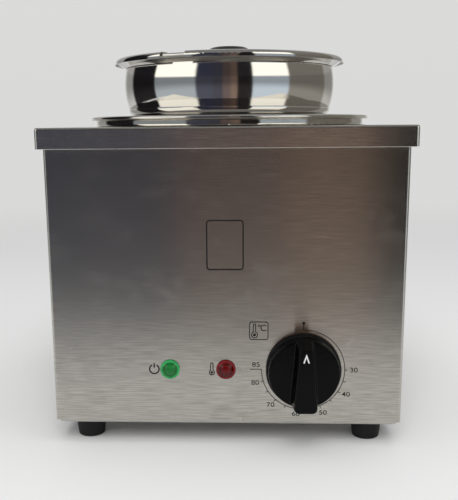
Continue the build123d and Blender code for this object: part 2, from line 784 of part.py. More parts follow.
# Thermostat's bulb under the well, its clips and its capillary tube
bulb_y = -(spreader_radius + spreader_margin / 2)
bulb_z = well_bottom - bulb_radius - slip
with BuildPart() as sensor_bulb:
    with BuildSketch(Plane.YZ.offset(-bulb_half)):
        with Locations((bulb_y, bulb_z)):
            Circle(bulb_radius)
    extrude(amount=2 * bulb_half)
    fillet(sensor_bulb.faces().sort_by(Axis.X)[0].edges(), 1.2)
clip_arm = bulb_radius + slip
clip_flange = clip_arm + 6.0
with BuildPart() as bulb_clips:
    for clip_x in (-bulb_half * 0.6, bulb_half * 0.4):
        with BuildSketch(Plane.YZ.offset(clip_x)):
            with BuildLine():
                FilletPolyline(
                    (bulb_y - clip_flange, well_bottom),
                    (bulb_y - clip_arm, well_bottom),
                    (bulb_y - clip_arm, bulb_z - clip_arm),
                    (bulb_y + clip_arm, bulb_z - clip_arm),
                    (bulb_y + clip_arm, well_bottom),
                    (bulb_y + clip_flange, well_bottom),
                    radius=[slip, clip_arm - slip, clip_arm - slip, slip],
                )
                offset(amount=sheet, side=Side.RIGHT)
            make_face()
        extrude(amount=clip_width)
capillary_start = (knob_x + 14, thermostat_depth - body_depth / 2 - body_face, control_z + 12)
capillary_route = [
    capillary_start,
    (knob_x + 14, capillary_start[1] + 9, control_z + 12),
    (knob_x + 8, bulb_y + 2, control_z + 21),
    (knob_x - 4, bulb_y, bulb_z),
    (bulb_half, bulb_y, bulb_z),
]
capillary_tube = leads([capillary_route], capillary_radius)

# Thermal cut-out clipped under the well, with its fixing screws and terminals
cut_out_base = Plane(origin=(cut_out_x, cut_out_y, well_bottom), x_dir=(1, 0, 0), z_dir=(0, 0, -1))
cut_out_screw_points = [(0, side * (cut_out_length / 2 - 3.5)) for side in (-1, 1)]
with BuildPart() as thermal_cut_out:
    with BuildSketch(cut_out_base):
        SlotOverall(cut_out_length, cut_out_radius * 1.6, rotation=90)
        with Locations(*cut_out_screw_points):
            Circle(small_shank + slip, mode=Mode.SUBTRACT)
    extrude(amount=sheet)
    with BuildSketch(cut_out_base):
        Circle(cut_out_radius)
    extrude(amount=cut_out_height)
    fillet(thermal_cut_out.faces().sort_by(Axis.Z)[0].edges(), 0.6)
cut_out_screw_spots = places(cut_out_base.offset(sheet), cut_out_screw_points)
cut_out_screws = screws(cut_out_screw_spots, small_head, small_head_height, small_shank, sheet)
cut_out_tab_points = [(-cut_out_tab_step, 0), (cut_out_tab_step, 0)]
with BuildPart() as cut_out_tabs:
    with Locations(*places(cut_out_base.offset(cut_out_height), cut_out_tab_points)):
        Box(sheet, tab_width, cut_out_tab_length, align=above)

# Pilot lamps: domed lenses with a barrel through the panel, holders, bulbs, nuts, terminals

def lamp_lens(x):
    """A hollow domed lens with a flat rim in front of the panel and a barrel through it."""
    bore = lamp_barrel - lamp_wall
    with BuildPart() as lens:
        with BuildSketch(turning_plane(x, -body_depth / 2, control_z)):
            with BuildLine():
                TangentArc((0, lamp_dome), (lamp_radius - lamp_rim, lamp_rim), tangent=(1, 0))
                FilletPolyline(
                    (lamp_radius - lamp_rim, lamp_rim),
                    (lamp_radius, lamp_rim),
                    (lamp_radius, 0),
                    radius=lamp_rim / 3,
                )
                Polyline(
                    (lamp_radius, 0),
                    (lamp_barrel, 0),
                    (lamp_barrel, -lamp_barrel_length),
                    (bore, -lamp_barrel_length),
                    (bore, slip),
                )
                TangentArc((0, lamp_dome - 2 * lamp_wall), (bore, slip), tangent=(1, 0))
                Line((0, lamp_dome - 2 * lamp_wall), (0, lamp_dome))
            make_face()
        revolve(axis=Axis((x, 0, control_z), (0, 1, 0)))
    return lens


green_lens = lamp_lens(green_x)
red_lens = lamp_lens(red_x)
with BuildPart() as lamp_holders:
    with Locations(*[spot * Location((0, 0, -lamp_barrel_length - slip)) for spot in lamp_spots]):
        Cylinder(lamp_barrel, lamp_depth - lamp_barrel_length, align=below)
        Cylinder(lamp_barrel - lamp_wall - slip, lamp_barrel_length - holder_gap, align=above)
with BuildPart() as neon_bulbs:
    with Locations(*[spot * Location((0, 0, -holder_gap - slip)) for spot in lamp_spots]):
        Cylinder(neon_radius, holder_gap + slip + neon_tip, align=above)
    fillet(neon_bulbs.faces().group_by(Axis.Y)[0].edges(), neon_radius * 0.6)
with BuildPart() as lamp_nuts:
    with Locations(*[spot * Location((0, 0, -sheet)) for spot in lamp_spots]):
        Cylinder(lamp_nut_radius, lamp_nut_height, align=below)
        Cylinder(lamp_barrel + slip, 4 * lamp_nut_height, mode=Mode.SUBTRACT)
lamp_tab_plane = panel.offset(-lamp_depth - slip)
lamp_tab_points = [(x + side * lamp_tab_step, control_z) for x in (green_x, red_x) for side in (-1, 1)]
with BuildPart() as lamp_tabs:
    with Locations(*places(lamp_tab_plane, lamp_tab_points)):
        Box(sheet, tab_width * 0.75, lamp_tab_length, align=below)

# Cable gland in the rear panel: body, locknut inside, rubber seal and dome nut
seal_foot = gland_mouth - seal_seat
seal_end = gland_reach - dome_end
dome_foot = gland_hex + lid_clearance
dome_hex_end = dome_foot + dome_hex
dome_bore = gland_thread - thread_depth + slip
with BuildPart() as gland_body:
    with BuildSketch(Plane(gland_spot[0])):
        RegularPolygon(gland_flats / 2, 6, major_radius=False)
    extrude(amount=gland_hex)
    with Locations(*gland_spot):
        Cylinder(gland_thread, gland_inner, align=below)
        Cylinder(gland_thread - thread_depth, gland_mouth, align=above)
        Cylinder(gland_bore, 3 * gland_reach, mode=Mode.SUBTRACT)
    with Locations(gland_spot[0] * Location((0, 0, seal_foot))):
        Cylinder(seal_radius + slip, 2 * seal_seat, align=above, mode=Mode.SUBTRACT)
with BuildPart() as gland_locknut:
    with BuildSketch(Plane(gland_spot[0] * Location((0, 0, -sheet)))):
        RegularPolygon(gland_flats / 2 + 1, 6, major_radius=False)
        Circle(gland_thread + slip, mode=Mode.SUBTRACT)
    extrude(amount=-locknut_height)
with BuildPart() as gland_seal:
    with Locations(gland_spot[0] * Location((0, 0, seal_foot))):
        Cylinder(seal_radius, seal_end - seal_foot, align=above)
        Cylinder(cord_hole, 3 * gland_reach, mode=Mode.SUBTRACT)
with BuildPart() as gland_dome_nut:
    with BuildSketch(Plane(gland_spot[0] * Location((0, 0, dome_foot)))):
        RegularPolygon(gland_flats / 2, 6, major_radius=False)
    extrude(amount=dome_hex)
    with Locations(gland_spot[0] * Location((0, 0, dome_hex_end))):
        Cone(gland_flats / 2 - 0.4, gland_thread, gland_reach - dome_hex_end, align=above)
    fillet(gland_dome_nut.faces().sort_by(Axis.Y)[-1].edges(), 1.0)
    with Locations(gland_spot[0] * Location((0, 0, dome_foot))):
        Cylinder(dome_bore, seal_end + 1 - dome_foot, align=above, mode=Mode.SUBTRACT)
        Cylinder(cord_hole + 1.2, 3 * gland_reach, mode=Mode.SUBTRACT)

# Terminal block on the base plate: earth, two neutral poles and line, each with two screws
block_z = body_bottom + block_height / 2
poles = [block_x + step * pole_pitch for step in (-1.5, -0.5, 0.5, 1.5)]
earth_pole, lamp_pole, neutral_pole, line_pole = poles
block_top = Plane.XY.offset(body_bottom + block_height)
pole_screw_points = [(x, block_y + step * block_depth / 4) for x in poles for step in (-1, 1)]
with BuildPart() as terminal_block:
    with Locations((block_x, block_y, body_bottom)):
        Box(4 * pole_pitch + 2, block_depth, block_height, align=above)
    fillet(terminal_block.edges().filter_by(Axis.Z), 1.5)
    with Locations(*[(x, block_y, block_z) for x in poles]):
        Cylinder(lead_radius + 0.6, 2 * block_depth, rotation=(90, 0, 0), mode=Mode.SUBTRACT)
    with Locations(*places(block_top, pole_screw_points)):
        Cylinder(pole_screw_radius + slip, block_height / 3, align=below, mode=Mode.SUBTRACT)
with BuildPart() as terminal_screws:
    with Locations(*places(block_top.offset(-1), pole_screw_points)):
        Cylinder(pole_screw_radius, block_height / 3 - 1, align=below)
        Box(0.6, 2 * pole_screw_radius + 1, 1.6, mode=Mode.SUBTRACT)

# Earth stud on the base plate: two nuts with a lug between them
earth_spot = [(earth_x, earth_y)]
with BuildPart() as earth_stud:
    with Locations((earth_x, earth_y, body_bottom)):
        Cylinder(stud_radius, 2 * nut_height + 4, align=above)
lug_z = body_bottom + nut_height
lug_tail = 14.0
with BuildPart() as earth_lug:
    with BuildSketch(Plane.XY.offset(lug_z)):
        with Locations((earth_x, earth_y)):
            Circle(5.0)
            Rectangle(4.5, lug_tail, align=(Align.CENTER, Align.MAX))
            Circle(stud_radius + slip, mode=Mode.SUBTRACT)
    extrude(amount=sheet)
earth_nuts = nuts(
    places(Plane.XY.offset(body_bottom), earth_spot) + places(Plane.XY.offset(lug_z + sheet), earth_spot),
    8.0,
    nut_height,
    stud_radius + slip,
)

# Leads between block, thermostat, cut-out, element and lamps; each starts and ends at a terminal
block_mouth = block_y - block_depth / 2 + 4
block_front = block_mouth - 12
thermostat_tab_y = thermostat_depth + thermostat_tab / 2 - body_depth / 2 - body_face
line_tab, feed_tab, lamp_tab = [(x, thermostat_tab_y + thermostat_tab / 2, tab_z) for x in thermostat_tab_x]
pin_y = element_reach + pin_length
lamp_tab_y = lamp_depth + slip + lamp_tab_length - body_depth / 2
cut_out_tab_z = well_bottom - cut_out_height - cut_out_tab_length
live_routes = [
    [
        (line_pole, block_mouth, block_z),
        (line_pole, block_front, block_z),
        (-20, 5, 22),
        (24, -44, 30),
        (line_tab[0], line_tab[1] + 13, tab_z),
        line_tab,
    ],
    [
        feed_tab,
        (feed_tab[0], feed_tab[1] + 13, tab_z),
        (28, -36, 34),
        (-30, 4, 32),
        (-58, 26, 44),
        (cut_out_x - cut_out_tab_step, cut_out_y, cut_out_tab_z - 10),
        (cut_out_x - cut_out_tab_step, cut_out_y, cut_out_tab_z),
    ],
    [
        (cut_out_x + cut_out_tab_step, cut_out_y, cut_out_tab_z),
        (cut_out_x + cut_out_tab_step, cut_out_y, cut_out_tab_z - 12),
        (-44, 58, 38),
        (0, 84, 40),
        (11, 99, 58),
        (element_gap, pin_y + 12, element_z),
        (element_gap, pin_y, element_z),
    ],
]
neutral_route = [
    (neutral_pole, block_mouth, block_z),
    (neutral_pole, block_front, block_z),
    (-50, 62, 46),
    (-32, 80, 62),
    (-12, 96, 73),
    (-element_gap, pin_y + 9, element_z),
    (-element_gap, pin_y, element_z),
]
lamp_routes = [
    [
        (green_x + lamp_tab_step, lamp_tab_y, control_z),
        (green_x + lamp_tab_step, lamp_tab_y + 10, control_z),
        ((green_x + red_x) / 2, lamp_tab_y + 20, control_z - 8),
        (red_x - lamp_tab_step, lamp_tab_y + 10, control_z),
        (red_x - lamp_tab_step, lamp_tab_y, control_z),
    ],
    [
        (green_x - lamp_tab_step, lamp_tab_y, control_z),
        (green_x - lamp_tab_step, lamp_tab_y + 12, control_z),
        (-60, -40, 30),
        (-84, 20, 26),
        (lamp_pole, block_front, block_z),
        (lamp_pole, block_mouth, block_z),
    ],
    [
        (red_x + lamp_tab_step, lamp_tab_y, control_z),
        (red_x + lamp_tab_step, lamp_tab_y + 10, control_z),
        (24, -60, 36),
        (52, -60, 34),
        (lamp_tab[0], lamp_tab[1] + 11, tab_z),
        lamp_tab,
    ],
]
earth_route = [
    (earth_pole, block_mouth, block_z),
    (earth_pole, block_front, block_z),
    (-80, 50, 17.5),
    (-50, 48, 17.5),
    (-34, 58, 18),
    (earth_x, earth_y - 2 * lug_tail + 3, lug_z + sheet + lead_radius + slip),
    (earth_x + slip, earth_y - lug_tail + 4, lug_z + sheet + lead_radius + slip),
]
live_leads = leads(live_routes, lead_radius)
neutral_lead = leads([neutral_route], lead_radius)
lamp_leads = leads(lamp_routes, lead_radius)
earth_lead = leads([earth_route], lead_radius)

# Every piece in its own file
pieces = {
    "housing_shell": housing_shell,
    "rear_panel": rear_panel,
    "base_plate": base_plate,
    "top_cover": top_cover,
    "cover_brackets": cover_brackets,
    "rear_panel_screws": rear_panel_screws,
    "base_screws": base_screws,
    "feet": feet,
    "foot_screws": foot_screws,
    "foot_nuts": foot_nuts,
    "water_well": water_well,
    "heat_spreader": heat_spreader,
    "heating_element": heating_element,
    "element_clamp": element_clamp,
    "heat_shield": heat_shield,
    "well_studs": well_studs,
    "clamp_nuts": clamp_nuts,
    "shield_spacers": shield_spacers,
    "shield_nuts": shield_nuts,
    "element_pins": element_pins,
    "well_jacket": well_jacket,
    "support_ring": support_ring,
    "pot": pot,
    "lid": lid,
    "lid_knob": lid_knob,
    "lid_knob_screw": lid_knob_screw,
    "lid_knob_washer": lid_knob_washer,
    "knob_pointer": knob_pointer,
    "control_knob": control_knob,
    "knob_spring_ring": knob_spring_ring,
    "thermostat_bracket": thermostat_bracket,
    "thermostat_body": thermostat_body,
    "thermostat_screws": thermostat_screws,
    "thermostat_shaft": thermostat_shaft,
    "thermostat_tabs": thermostat_tabs,
    "sensor_bulb": sensor_bulb,
    "bulb_clips": bulb_clips,
    "capillary_tube": capillary_tube,
    "thermal_cut_out": thermal_cut_out,
    "cut_out_screws": cut_out_screws,
    "cut_out_tabs": cut_out_tabs,
    "green_lens": green_lens,
    "red_lens": red_lens,
    "lamp_holders": lamp_holders,
    "neon_bulbs": neon_bulbs,
    "lamp_nuts": lamp_nuts,
    "lamp_tabs": lamp_tabs,
    "gland_body": gland_body,
    "gland_locknut": gland_locknut,
    "gland_seal": gland_seal,
    "gland_dome_nut": gland_dome_nut,
    "terminal_block": terminal_block,
    "terminal_screws": terminal_screws,
    "earth_stud": earth_stud,
    "earth_lug": earth_lug,
    "earth_nuts": earth_nuts,
    "live_leads": live_leads,
    "neutral_lead": neutral_lead,
    "lamp_leads": lamp_leads,
    "earth_lead": earth_lead,
}
os.makedirs("parts", exist_ok=True)
for name, piece in pieces.items():
    piece.part.label = name
    export_step(piece.part, f"parts/{name}.step")
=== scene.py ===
"""Looks of a counter-top bain marie: steel, knob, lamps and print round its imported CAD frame."""

from __future__ import annotations

import json
import logging
import math
from dataclasses import dataclass, field
from enum import Enum

import bmesh
import bpy
from mathutils import Matrix, Vector

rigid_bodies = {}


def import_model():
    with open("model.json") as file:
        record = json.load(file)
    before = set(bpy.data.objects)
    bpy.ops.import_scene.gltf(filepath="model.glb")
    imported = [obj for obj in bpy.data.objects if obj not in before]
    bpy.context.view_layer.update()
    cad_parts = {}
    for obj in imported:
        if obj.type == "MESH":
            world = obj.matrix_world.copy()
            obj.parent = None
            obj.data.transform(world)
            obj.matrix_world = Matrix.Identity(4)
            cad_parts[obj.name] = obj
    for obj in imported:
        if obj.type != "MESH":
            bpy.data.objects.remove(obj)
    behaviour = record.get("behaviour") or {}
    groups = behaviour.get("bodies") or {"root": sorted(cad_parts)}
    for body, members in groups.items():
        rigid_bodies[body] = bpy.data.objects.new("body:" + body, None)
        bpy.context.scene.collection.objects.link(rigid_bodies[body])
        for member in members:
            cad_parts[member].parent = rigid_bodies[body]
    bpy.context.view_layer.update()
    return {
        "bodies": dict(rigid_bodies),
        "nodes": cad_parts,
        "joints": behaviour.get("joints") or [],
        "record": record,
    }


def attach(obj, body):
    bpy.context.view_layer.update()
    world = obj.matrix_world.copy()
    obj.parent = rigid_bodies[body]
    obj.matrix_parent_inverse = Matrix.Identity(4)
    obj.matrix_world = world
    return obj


MM = 0.001
FULL_TURN = 2 * math.pi
DEGREE = 180 / math.pi
Colour = tuple[float, float, float]
Point = tuple[float, float]
Triple = tuple[float, float, float]
Socket = bpy.types.NodeSocket
log = logging.getLogger("bain_marie")


def shaded(colour: Colour, share: float) -> Colour:
    """Gives a colour at a share of its brightness."""
    return tuple(share * part for part in colour)


def around(centre: Point, reach: float, turn: float) -> Point:
    """Gives the point at a distance and an angle, in radians clockwise from the top."""
    return centre[0] + reach * math.sin(turn), centre[1] + reach * math.cos(turn)


class NodeSheet:
    """Draws one node tree: a material, an effect group or the studio's world."""

    def __init__(self, tree: bpy.types.NodeTree, effects: Effects | None = None) -> None:
        """Starts on an empty tree.

        Args:
            tree: The tree to draw in.
            effects: The shared effects that it may place.
        """
        self.tree = tree
        self.effects = effects
        tree.nodes.clear()

    def add(self, kind: str, sockets: dict | None = None, **settings: object) -> bpy.types.Node:
        """Adds a node, sets its properties, and fills or links its sockets.

        Args:
            kind: Blender's shader node type, without its leading word.
            sockets: Values or sockets to link from, by input name or number.
            settings: The node's own properties.

        Returns:
            The new node.
        """
        node = self.tree.nodes.new("ShaderNode" + kind)
        for name, value in settings.items():
            setattr(node, name, value)
        for key, value in (sockets or {}).items():
            if isinstance(value, Socket):
                self.tree.links.new(value, node.inputs[key])
            else:
                node.inputs[key].default_value = value
        return node

    def math(self, operation: str, *terms: object, clamp: bool = False) -> Socket:
        """Joins numbers with Math nodes, two numbers to a node.

        Args:
            operation: Blender's name for the sum.
            terms: Numbers or sockets, in order.
            clamp: Whether to keep the result between 0 and 1.

        Returns:
            The last node's result.
        """
        if len(terms) > 2:
            terms = (self.math(operation, *terms[:-1]), terms[-1])
        node = self.add("Math", dict(enumerate(terms)), operation=operation, use_clamp=clamp)
        return node.outputs[0]

    def times(self, *terms: object) -> Socket:
        """Multiplies numbers or masks."""
        return self.math("MULTIPLY", *terms)

    def total(self, *terms: object) -> Socket:
        """Adds numbers up."""
        return self.math("ADD", *terms)

    def inverse(self, mask: Socket) -> Socket:
        """Turns a mask round, so that 1 becomes 0."""
        return self.math("SUBTRACT", 1.0, mask)

    def step(self, value: Socket, low: float, high: float) -> Socket:
        """Rises smoothly from 0 at a low value to 1 at a high one."""
        names = {"Value": value, "From Min": low, "From Max": high}
        return self.add("MapRange", names, interpolation_type="SMOOTHSTEP").outputs["Result"]

    def spread(self, mask: Socket, low: float, high: float) -> Socket:
        """Turns a mask, from 0 to 1, into values from low to high."""
        names = {"Value": mask, "To Min": low, "To Max": high}
        return self.add("MapRange", names).outputs["Result"]

    def choose(self, mask: Socket, low: Socket, high: Socket) -> Socket:
        """Takes one number where a mask is 0, and another where it is 1."""
        return self.add("Mix", {0: mask, 2: low, 3: high}, data_type="FLOAT").outputs[0]

    def blend(self, share: object, first: object, second: object, how: str = "MIX") -> Socket:
        """Mixes two colours.

        Args:
            share: How much of the second colour shows.
            first: A colour or a socket.
            second: A colour or a socket.
            how: Blender's name for the way of mixing.

        Returns:
            The mixed colour.
        """
        wide = [c if isinstance(c, Socket) else (*c, 1.0) for c in (first, second)]
        names = {0: share, 6: wide[0], 7: wide[1]}
        return self.add("Mix", names, data_type="RGBA", blend_type=how).outputs[2]

    def stain(self, under: object, mask: Socket, share: float, colour: Colour) -> Socket:
        """Lays a share of a colour over another one, where a mask is."""
        return self.blend(self.times(mask, share), under, colour)

    def dimmed(self, colour: object, shade: Socket) -> Socket:
        """Multiplies a colour by a number."""
        return self.blend(1.0, colour, self.vector(shade, shade, shade), "MULTIPLY")

    def vector(self, x: object, y: object, z: object) -> Socket:
        """Puts three numbers together."""
        return self.add("CombineXYZ", {0: x, 1: y, 2: z}).outputs[0]

    def split(self, vector: Socket) -> list[Socket]:
        """Takes a vector apart into x, y and z."""
        return list(self.add("SeparateXYZ", {0: vector}).outputs)

    def pulled(self, vector: Socket, pull: Triple) -> Socket:
        """Stretches a vector along x, y and z."""
        return self.add("VectorMath", {0: vector, 1: pull}, operation="MULTIPLY").outputs[0]

    def length(self, vector: Socket) -> Socket:
        """Measures a vector."""
        return self.add("VectorMath", {0: vector}, operation="LENGTH").outputs["Value"]

    def where(self) -> Socket:
        """Gives the place on the object."""
        return self.add("TexCoord").outputs["Object"]

    def upward(self) -> Socket:
        """Tells how far the surface faces up."""
        return self.split(self.add("TexCoord").outputs["Normal"])[2]

    def level(self, low: float = 0.55, high: float = 0.85) -> Socket:
        """Gives a mask of what lies level, which starts at low and is full at high."""
        return self.step(self.math("ABSOLUTE", self.upward()), low, high)

    def noise(self, place: Socket, scale: object, detail: float = 2.0) -> Socket:
        """Draws a noise field, about 0.5 on average, with finer layers as its detail."""
        names = {"Vector": place, "Scale": scale, "Detail": detail}
        return self.add("TexNoise", names).outputs["Fac"]

    def effect(self, effect: Effect, **values: float) -> list[Socket]:
        """Places a shared effect.

        Args:
            effect: Which effect.
            values: Its inputs by name, with underscores for spaces.

        Returns:
            The effect's outputs.
        """
        node = self.add("Group", node_tree=self.effects.get(effect))
        for name, value in values.items():
            node.inputs[name.replace("_", " ")].default_value = value
        return list(node.outputs)

    def bump(self, height: Socket, depth: float, strength: float) -> Socket:
        """Turns heights, from 0 to a depth in metres, into a bumped normal."""
        names = {"Height": height, "Distance": depth, "Strength": strength}
        return self.add("Bump", names).outputs[0]


class Effect(Enum):
    """The effects that finishes share: each one's inputs with their usual values, and outputs."""

    BRUSHED_LINES = (
        {"Streak Length": 0.03, "Line Pitch": 0.0003, "Coarse Pitch": 0.0016},
        ("Fine", "Coarse", "Cloud"),
    )
    TURNED_LINES = ({"Line Pitch": 0.0004, "Ring Pitch": 0.004}, ("Fine", "Rings"))
    HANDLING_MARKS = ({"Patch Size": 0.03, "Amount": 1.0}, ("Mask",))
    HAIR_SCRATCHES = ({"Spacing": 0.02, "Amount": 1.0}, ("Mask",))
    MOULDED_SKIN = ({"Grain Size": 0.0004}, ("Tone", "Height"))
    # Edge mask: finishes lighten along it for worn edges and for a painted highlight.
    RUBBED_EDGES = ({"Radius": 0.0006, "Amount": 1.0}, ("Mask",))
    FINE_DUST = ({"Amount": 0.1}, ("Mask",))
    TARNISH = ({"Patch Size": 0.01}, ("Cloud", "Spots"))


@dataclass
class Effects:
    """Builds each shared effect once, as a shader node group.

    A step is the pair of values between which a mask rises, and a scale is in cells a metre.
    """

    trees: dict[Effect, bpy.types.NodeTree] = field(default_factory=dict)
    patch_scale: float = 9.0
    coarse_stretch: float = 0.4
    turned_stretch: Point = (2.5, 0.8)
    wiped_step: Point = (0.48, 0.68)
    touched_step: Point = (0.35, 0.7)
    touched_finer: float = 4.0
    scratch_turns: tuple[Triple, ...] = ((0.3, 0.9, 0.5), (1.1, 0.2, 2.0))
    scratch_pulls: tuple[Triple, ...] = ((0.16, 1.0, 1.3), (1.2, 0.14, 0.9))
    scratch_step: Point = (0.0005, 0.003)
    break_scale: float = 160.0
    break_step: Point = (0.5, 0.6)
    tone_scale: float = 45.0
    edge_step: Point = (0.01, 0.18)
    edge_scale: float = 220.0
    edge_range: Point = (0.3, 1.0)
    speck_scale: float = 900.0
    speck_step: Point = (0.55, 0.75)
    veil_scale: float = 30.0
    veil_range: Point = (0.1, 0.5)
    settle_step: Point = (0.4, 0.95)
    cloud_step: Point = (0.35, 0.7)
    spot_step: Point = (0.55, 0.75)
    spot_finer: float = 14.0

    def get(self, effect: Effect) -> bpy.types.NodeTree:
        """Gives an effect's group, and builds it the first time.

        Args:
            effect: Which effect.

        Returns:
            The group.
        """
        if effect not in self.trees:
            self.trees[effect] = self._build(effect)
        return self.trees[effect]

    def _build(self, effect: Effect) -> bpy.types.NodeTree:
        """Builds an effect's group with its named sockets.

        Args:
            effect: Which effect.

        Returns:
            The group.
        """
        name = effect.name.lower()
        inputs, outputs = effect.value
        tree = bpy.data.node_groups.new(name, "ShaderNodeTree")
        for key, value in inputs.items():
            socket = tree.interface.new_socket(
                key, in_out="INPUT", socket_type="NodeSocketFloat"
            )
            socket.default_value = value
        for key in outputs:
            tree.interface.new_socket(key, in_out="OUTPUT", socket_type="NodeSocketFloat")
        sheet = NodeSheet(tree)
        enter, leave = tree.nodes.new("NodeGroupInput"), tree.nodes.new("NodeGroupOutput")
        drawn = getattr(self, "_" + name)(sheet, *enter.outputs[: len(inputs)])
        for result, socket in zip(drawn, leave.inputs):
            tree.links.new(result, socket)
        return tree

    def _brushed_lines(
        self, sheet: NodeSheet, streak: Socket, pitch: Socket, coarse_pitch: Socket
    ) -> list[Socket]:
        """Draws straight abrasive lines: level along walls, left to right on flat tops.

        Args:
            sheet: The group's sheet.
            streak: A line's length.
            pitch: The spacing of fine lines.
            coarse_pitch: The spacing of coarse streaks.

        Returns:
            Fine lines, coarse streaks and cloudy patches.
        """
        where, level = sheet.where(), sheet.level()
        x, y, z = sheet.split(where)
        along = sheet.choose(level, sheet.total(x, y), x)
        across = sheet.choose(level, z, y)
        run = sheet.math("DIVIDE", along, streak)
        fine = sheet.vector(run, sheet.math("DIVIDE", across, pitch), level)
        coarse_run = sheet.times(run, self.coarse_stretch)
        coarse = sheet.vector(coarse_run, sheet.math("DIVIDE", across, coarse_pitch), level)
        return [
            sheet.noise(fine, 1.0, 3.0),
            sheet.noise(coarse, 1.0, 3.0),
            sheet.noise(where, self.patch_scale),
        ]

    def _turned_lines(self, sheet: NodeSheet, pitch: Socket, ring_pitch: Socket) -> list[Socket]:
        """Draws the lines left by spinning, round the upright axis.

        Args:
            sheet: The group's sheet.
            pitch: The spacing of fine lines.
            ring_pitch: The spacing of wide rings.

        Returns:
            Fine lines and wide rings.
        """
        x, y, z = sheet.split(sheet.where())
        flat = sheet.length(sheet.vector(x, y, 0.0))
        turn = sheet.math("ARCTAN2", y, x)
        across = sheet.choose(sheet.level(), z, flat)
        drawn = []
        for spacing, stretch in zip((pitch, ring_pitch), self.turned_stretch):
            ring_x = sheet.times(sheet.math("COSINE", turn), stretch)
            ring_y = sheet.times(sheet.math("SINE", turn), stretch)
            row = sheet.math("DIVIDE", across, spacing)
            drawn.append(sheet.noise(sheet.vector(ring_x, ring_y, row), 1.0))
        return drawn

    def _handling_marks(self, sheet: NodeSheet, size: Socket, amount: Socket) -> list[Socket]:
        """Draws faint wiped and touched patches.

        Args:
            sheet: The group's sheet.
            size: A patch's size.
            amount: How strong they are.

        Returns:
            The patches' mask.
        """
        where = sheet.where()
        scale = sheet.math("DIVIDE", 1.0, size)
        finer = sheet.times(scale, self.touched_finer)
        wiped = sheet.step(sheet.noise(where, scale, 3.0), *self.wiped_step)
        touched = sheet.step(sheet.noise(where, finer, 4.0), *self.touched_step)
        return [sheet.times(wiped, touched, amount)]

    def _hair_scratches(self, sheet: NodeSheet, spacing: Socket, amount: Socket) -> list[Socket]:
        """Draws a few hair-thin scratches in two directions.

        Args:
            sheet: The group's sheet.
            spacing: How far apart they lie.
            amount: How strong they are.

        Returns:
            The scratches' mask.
        """
        where = sheet.where()
        scale = sheet.math("DIVIDE", 1.0, spacing)
        drawn = []
        for turn, pull in zip(self.scratch_turns, self.scratch_pulls):
            names = {"Vector": where, "Rotation": turn}
            turned = sheet.add("VectorRotate", names, rotation_type="EULER_XYZ").outputs[0]
            pulled = sheet.pulled(turned, pull)
            off = sheet.math("SUBTRACT", sheet.noise(pulled, scale, 1.0), 0.5)
            off = sheet.math("ABSOLUTE", off)
            drawn.append(sheet.inverse(sheet.step(off, *self.scratch_step)))
        broken = sheet.step(sheet.noise(where, self.break_scale), *self.break_step)
        return [sheet.times(sheet.math("MAXIMUM", *drawn), broken, amount)]

    def _moulded_skin(self, sheet: NodeSheet, size: Socket) -> list[Socket]:
        """Draws the fine pitted skin of moulded plastic or rubber.

        Args:
            sheet: The group's sheet.
            size: A grain's size.

        Returns:
            A tone and a height.
        """
        where = sheet.where()
        grain = sheet.noise(where, sheet.math("DIVIDE", 1.0, size), 3.0)
        return [sheet.noise(where, self.tone_scale, 3.0), grain]

    def _rubbed_edges(self, sheet: NodeSheet, radius: Socket, amount: Socket) -> list[Socket]:
        """Draws a mask of the edges, which finishes use for worn edges and for a painted highlight
        along them.

        Args:
            sheet: The group's sheet.
            radius: How far from an edge they reach.
            amount: How strong they are.

        Returns:
            The edges' mask.
        """
        eased = sheet.add("Bevel", {"Radius": radius}, samples=4).outputs[0]
        names = {0: eased, 1: sheet.add("NewGeometry").outputs["Normal"]}
        same = sheet.add("VectorMath", names, operation="DOT_PRODUCT").outputs["Value"]
        edge = sheet.step(sheet.inverse(same), *self.edge_step)
        patches = sheet.noise(sheet.where(), self.edge_scale, 3.0)
        patchy = sheet.spread(patches, *self.edge_range)
        return [sheet.math("MULTIPLY", edge, patchy, amount, clamp=True)]

    def _fine_dust(self, sheet: NodeSheet, amount: Socket) -> list[Socket]:
        """Draws light dust on what faces up.

        Args:
            sheet: The group's sheet.
            amount: How thick it lies.

        Returns:
            The dust's mask.
        """
        where = sheet.where()
        specks = sheet.step(sheet.noise(where, self.speck_scale, 3.0), *self.speck_step)
        veil = sheet.spread(sheet.noise(where, self.veil_scale, 3.0), *self.veil_range)
        settled = sheet.step(sheet.upward(), *self.settle_step)
        dust = sheet.total(specks, veil)
        return [sheet.math("MULTIPLY", dust, settled, amount, clamp=True)]

    def _tarnish(self, sheet: NodeSheet, size: Socket) -> list[Socket]:
        """Draws clouds of tarnish, heat tint or plating colour.

        Args:
            sheet: The group's sheet.
            size: A cloud's size.

        Returns:
            Broad clouds and fine spots.
        """
        where = sheet.where()
        scale = sheet.math("DIVIDE", 1.0, size)
        spots = sheet.noise(where, sheet.times(scale, self.spot_finer))
        return [
            sheet.step(sheet.noise(where, scale, 4.0), *self.cloud_step),
            sheet.step(spots, *self.spot_step),
        ]


class Finish:
    """What every finish shares: one material, drawn on its own sheet."""

    name: str

    def material(self, effects: Effects) -> bpy.types.Material:
        """Builds the finish.

        Args:
            effects: The shared effects.

        Returns:
            The material.
        """
        made = bpy.data.materials.new(self.name)
        made.use_nodes = True
        sheet = NodeSheet(made.node_tree, effects)
        shader = sheet.add("BsdfPrincipled", self.draw(sheet))
        sheet.add("OutputMaterial", {0: shader.outputs[0]})
        return made

    def draw(self, sheet: NodeSheet) -> dict[str, object]:
        """Draws the finish's own nodes.

        Args:
            sheet: The material's sheet.

        Returns:
            The surface shader's inputs: values or sockets, by name.
        """
        raise NotImplementedError


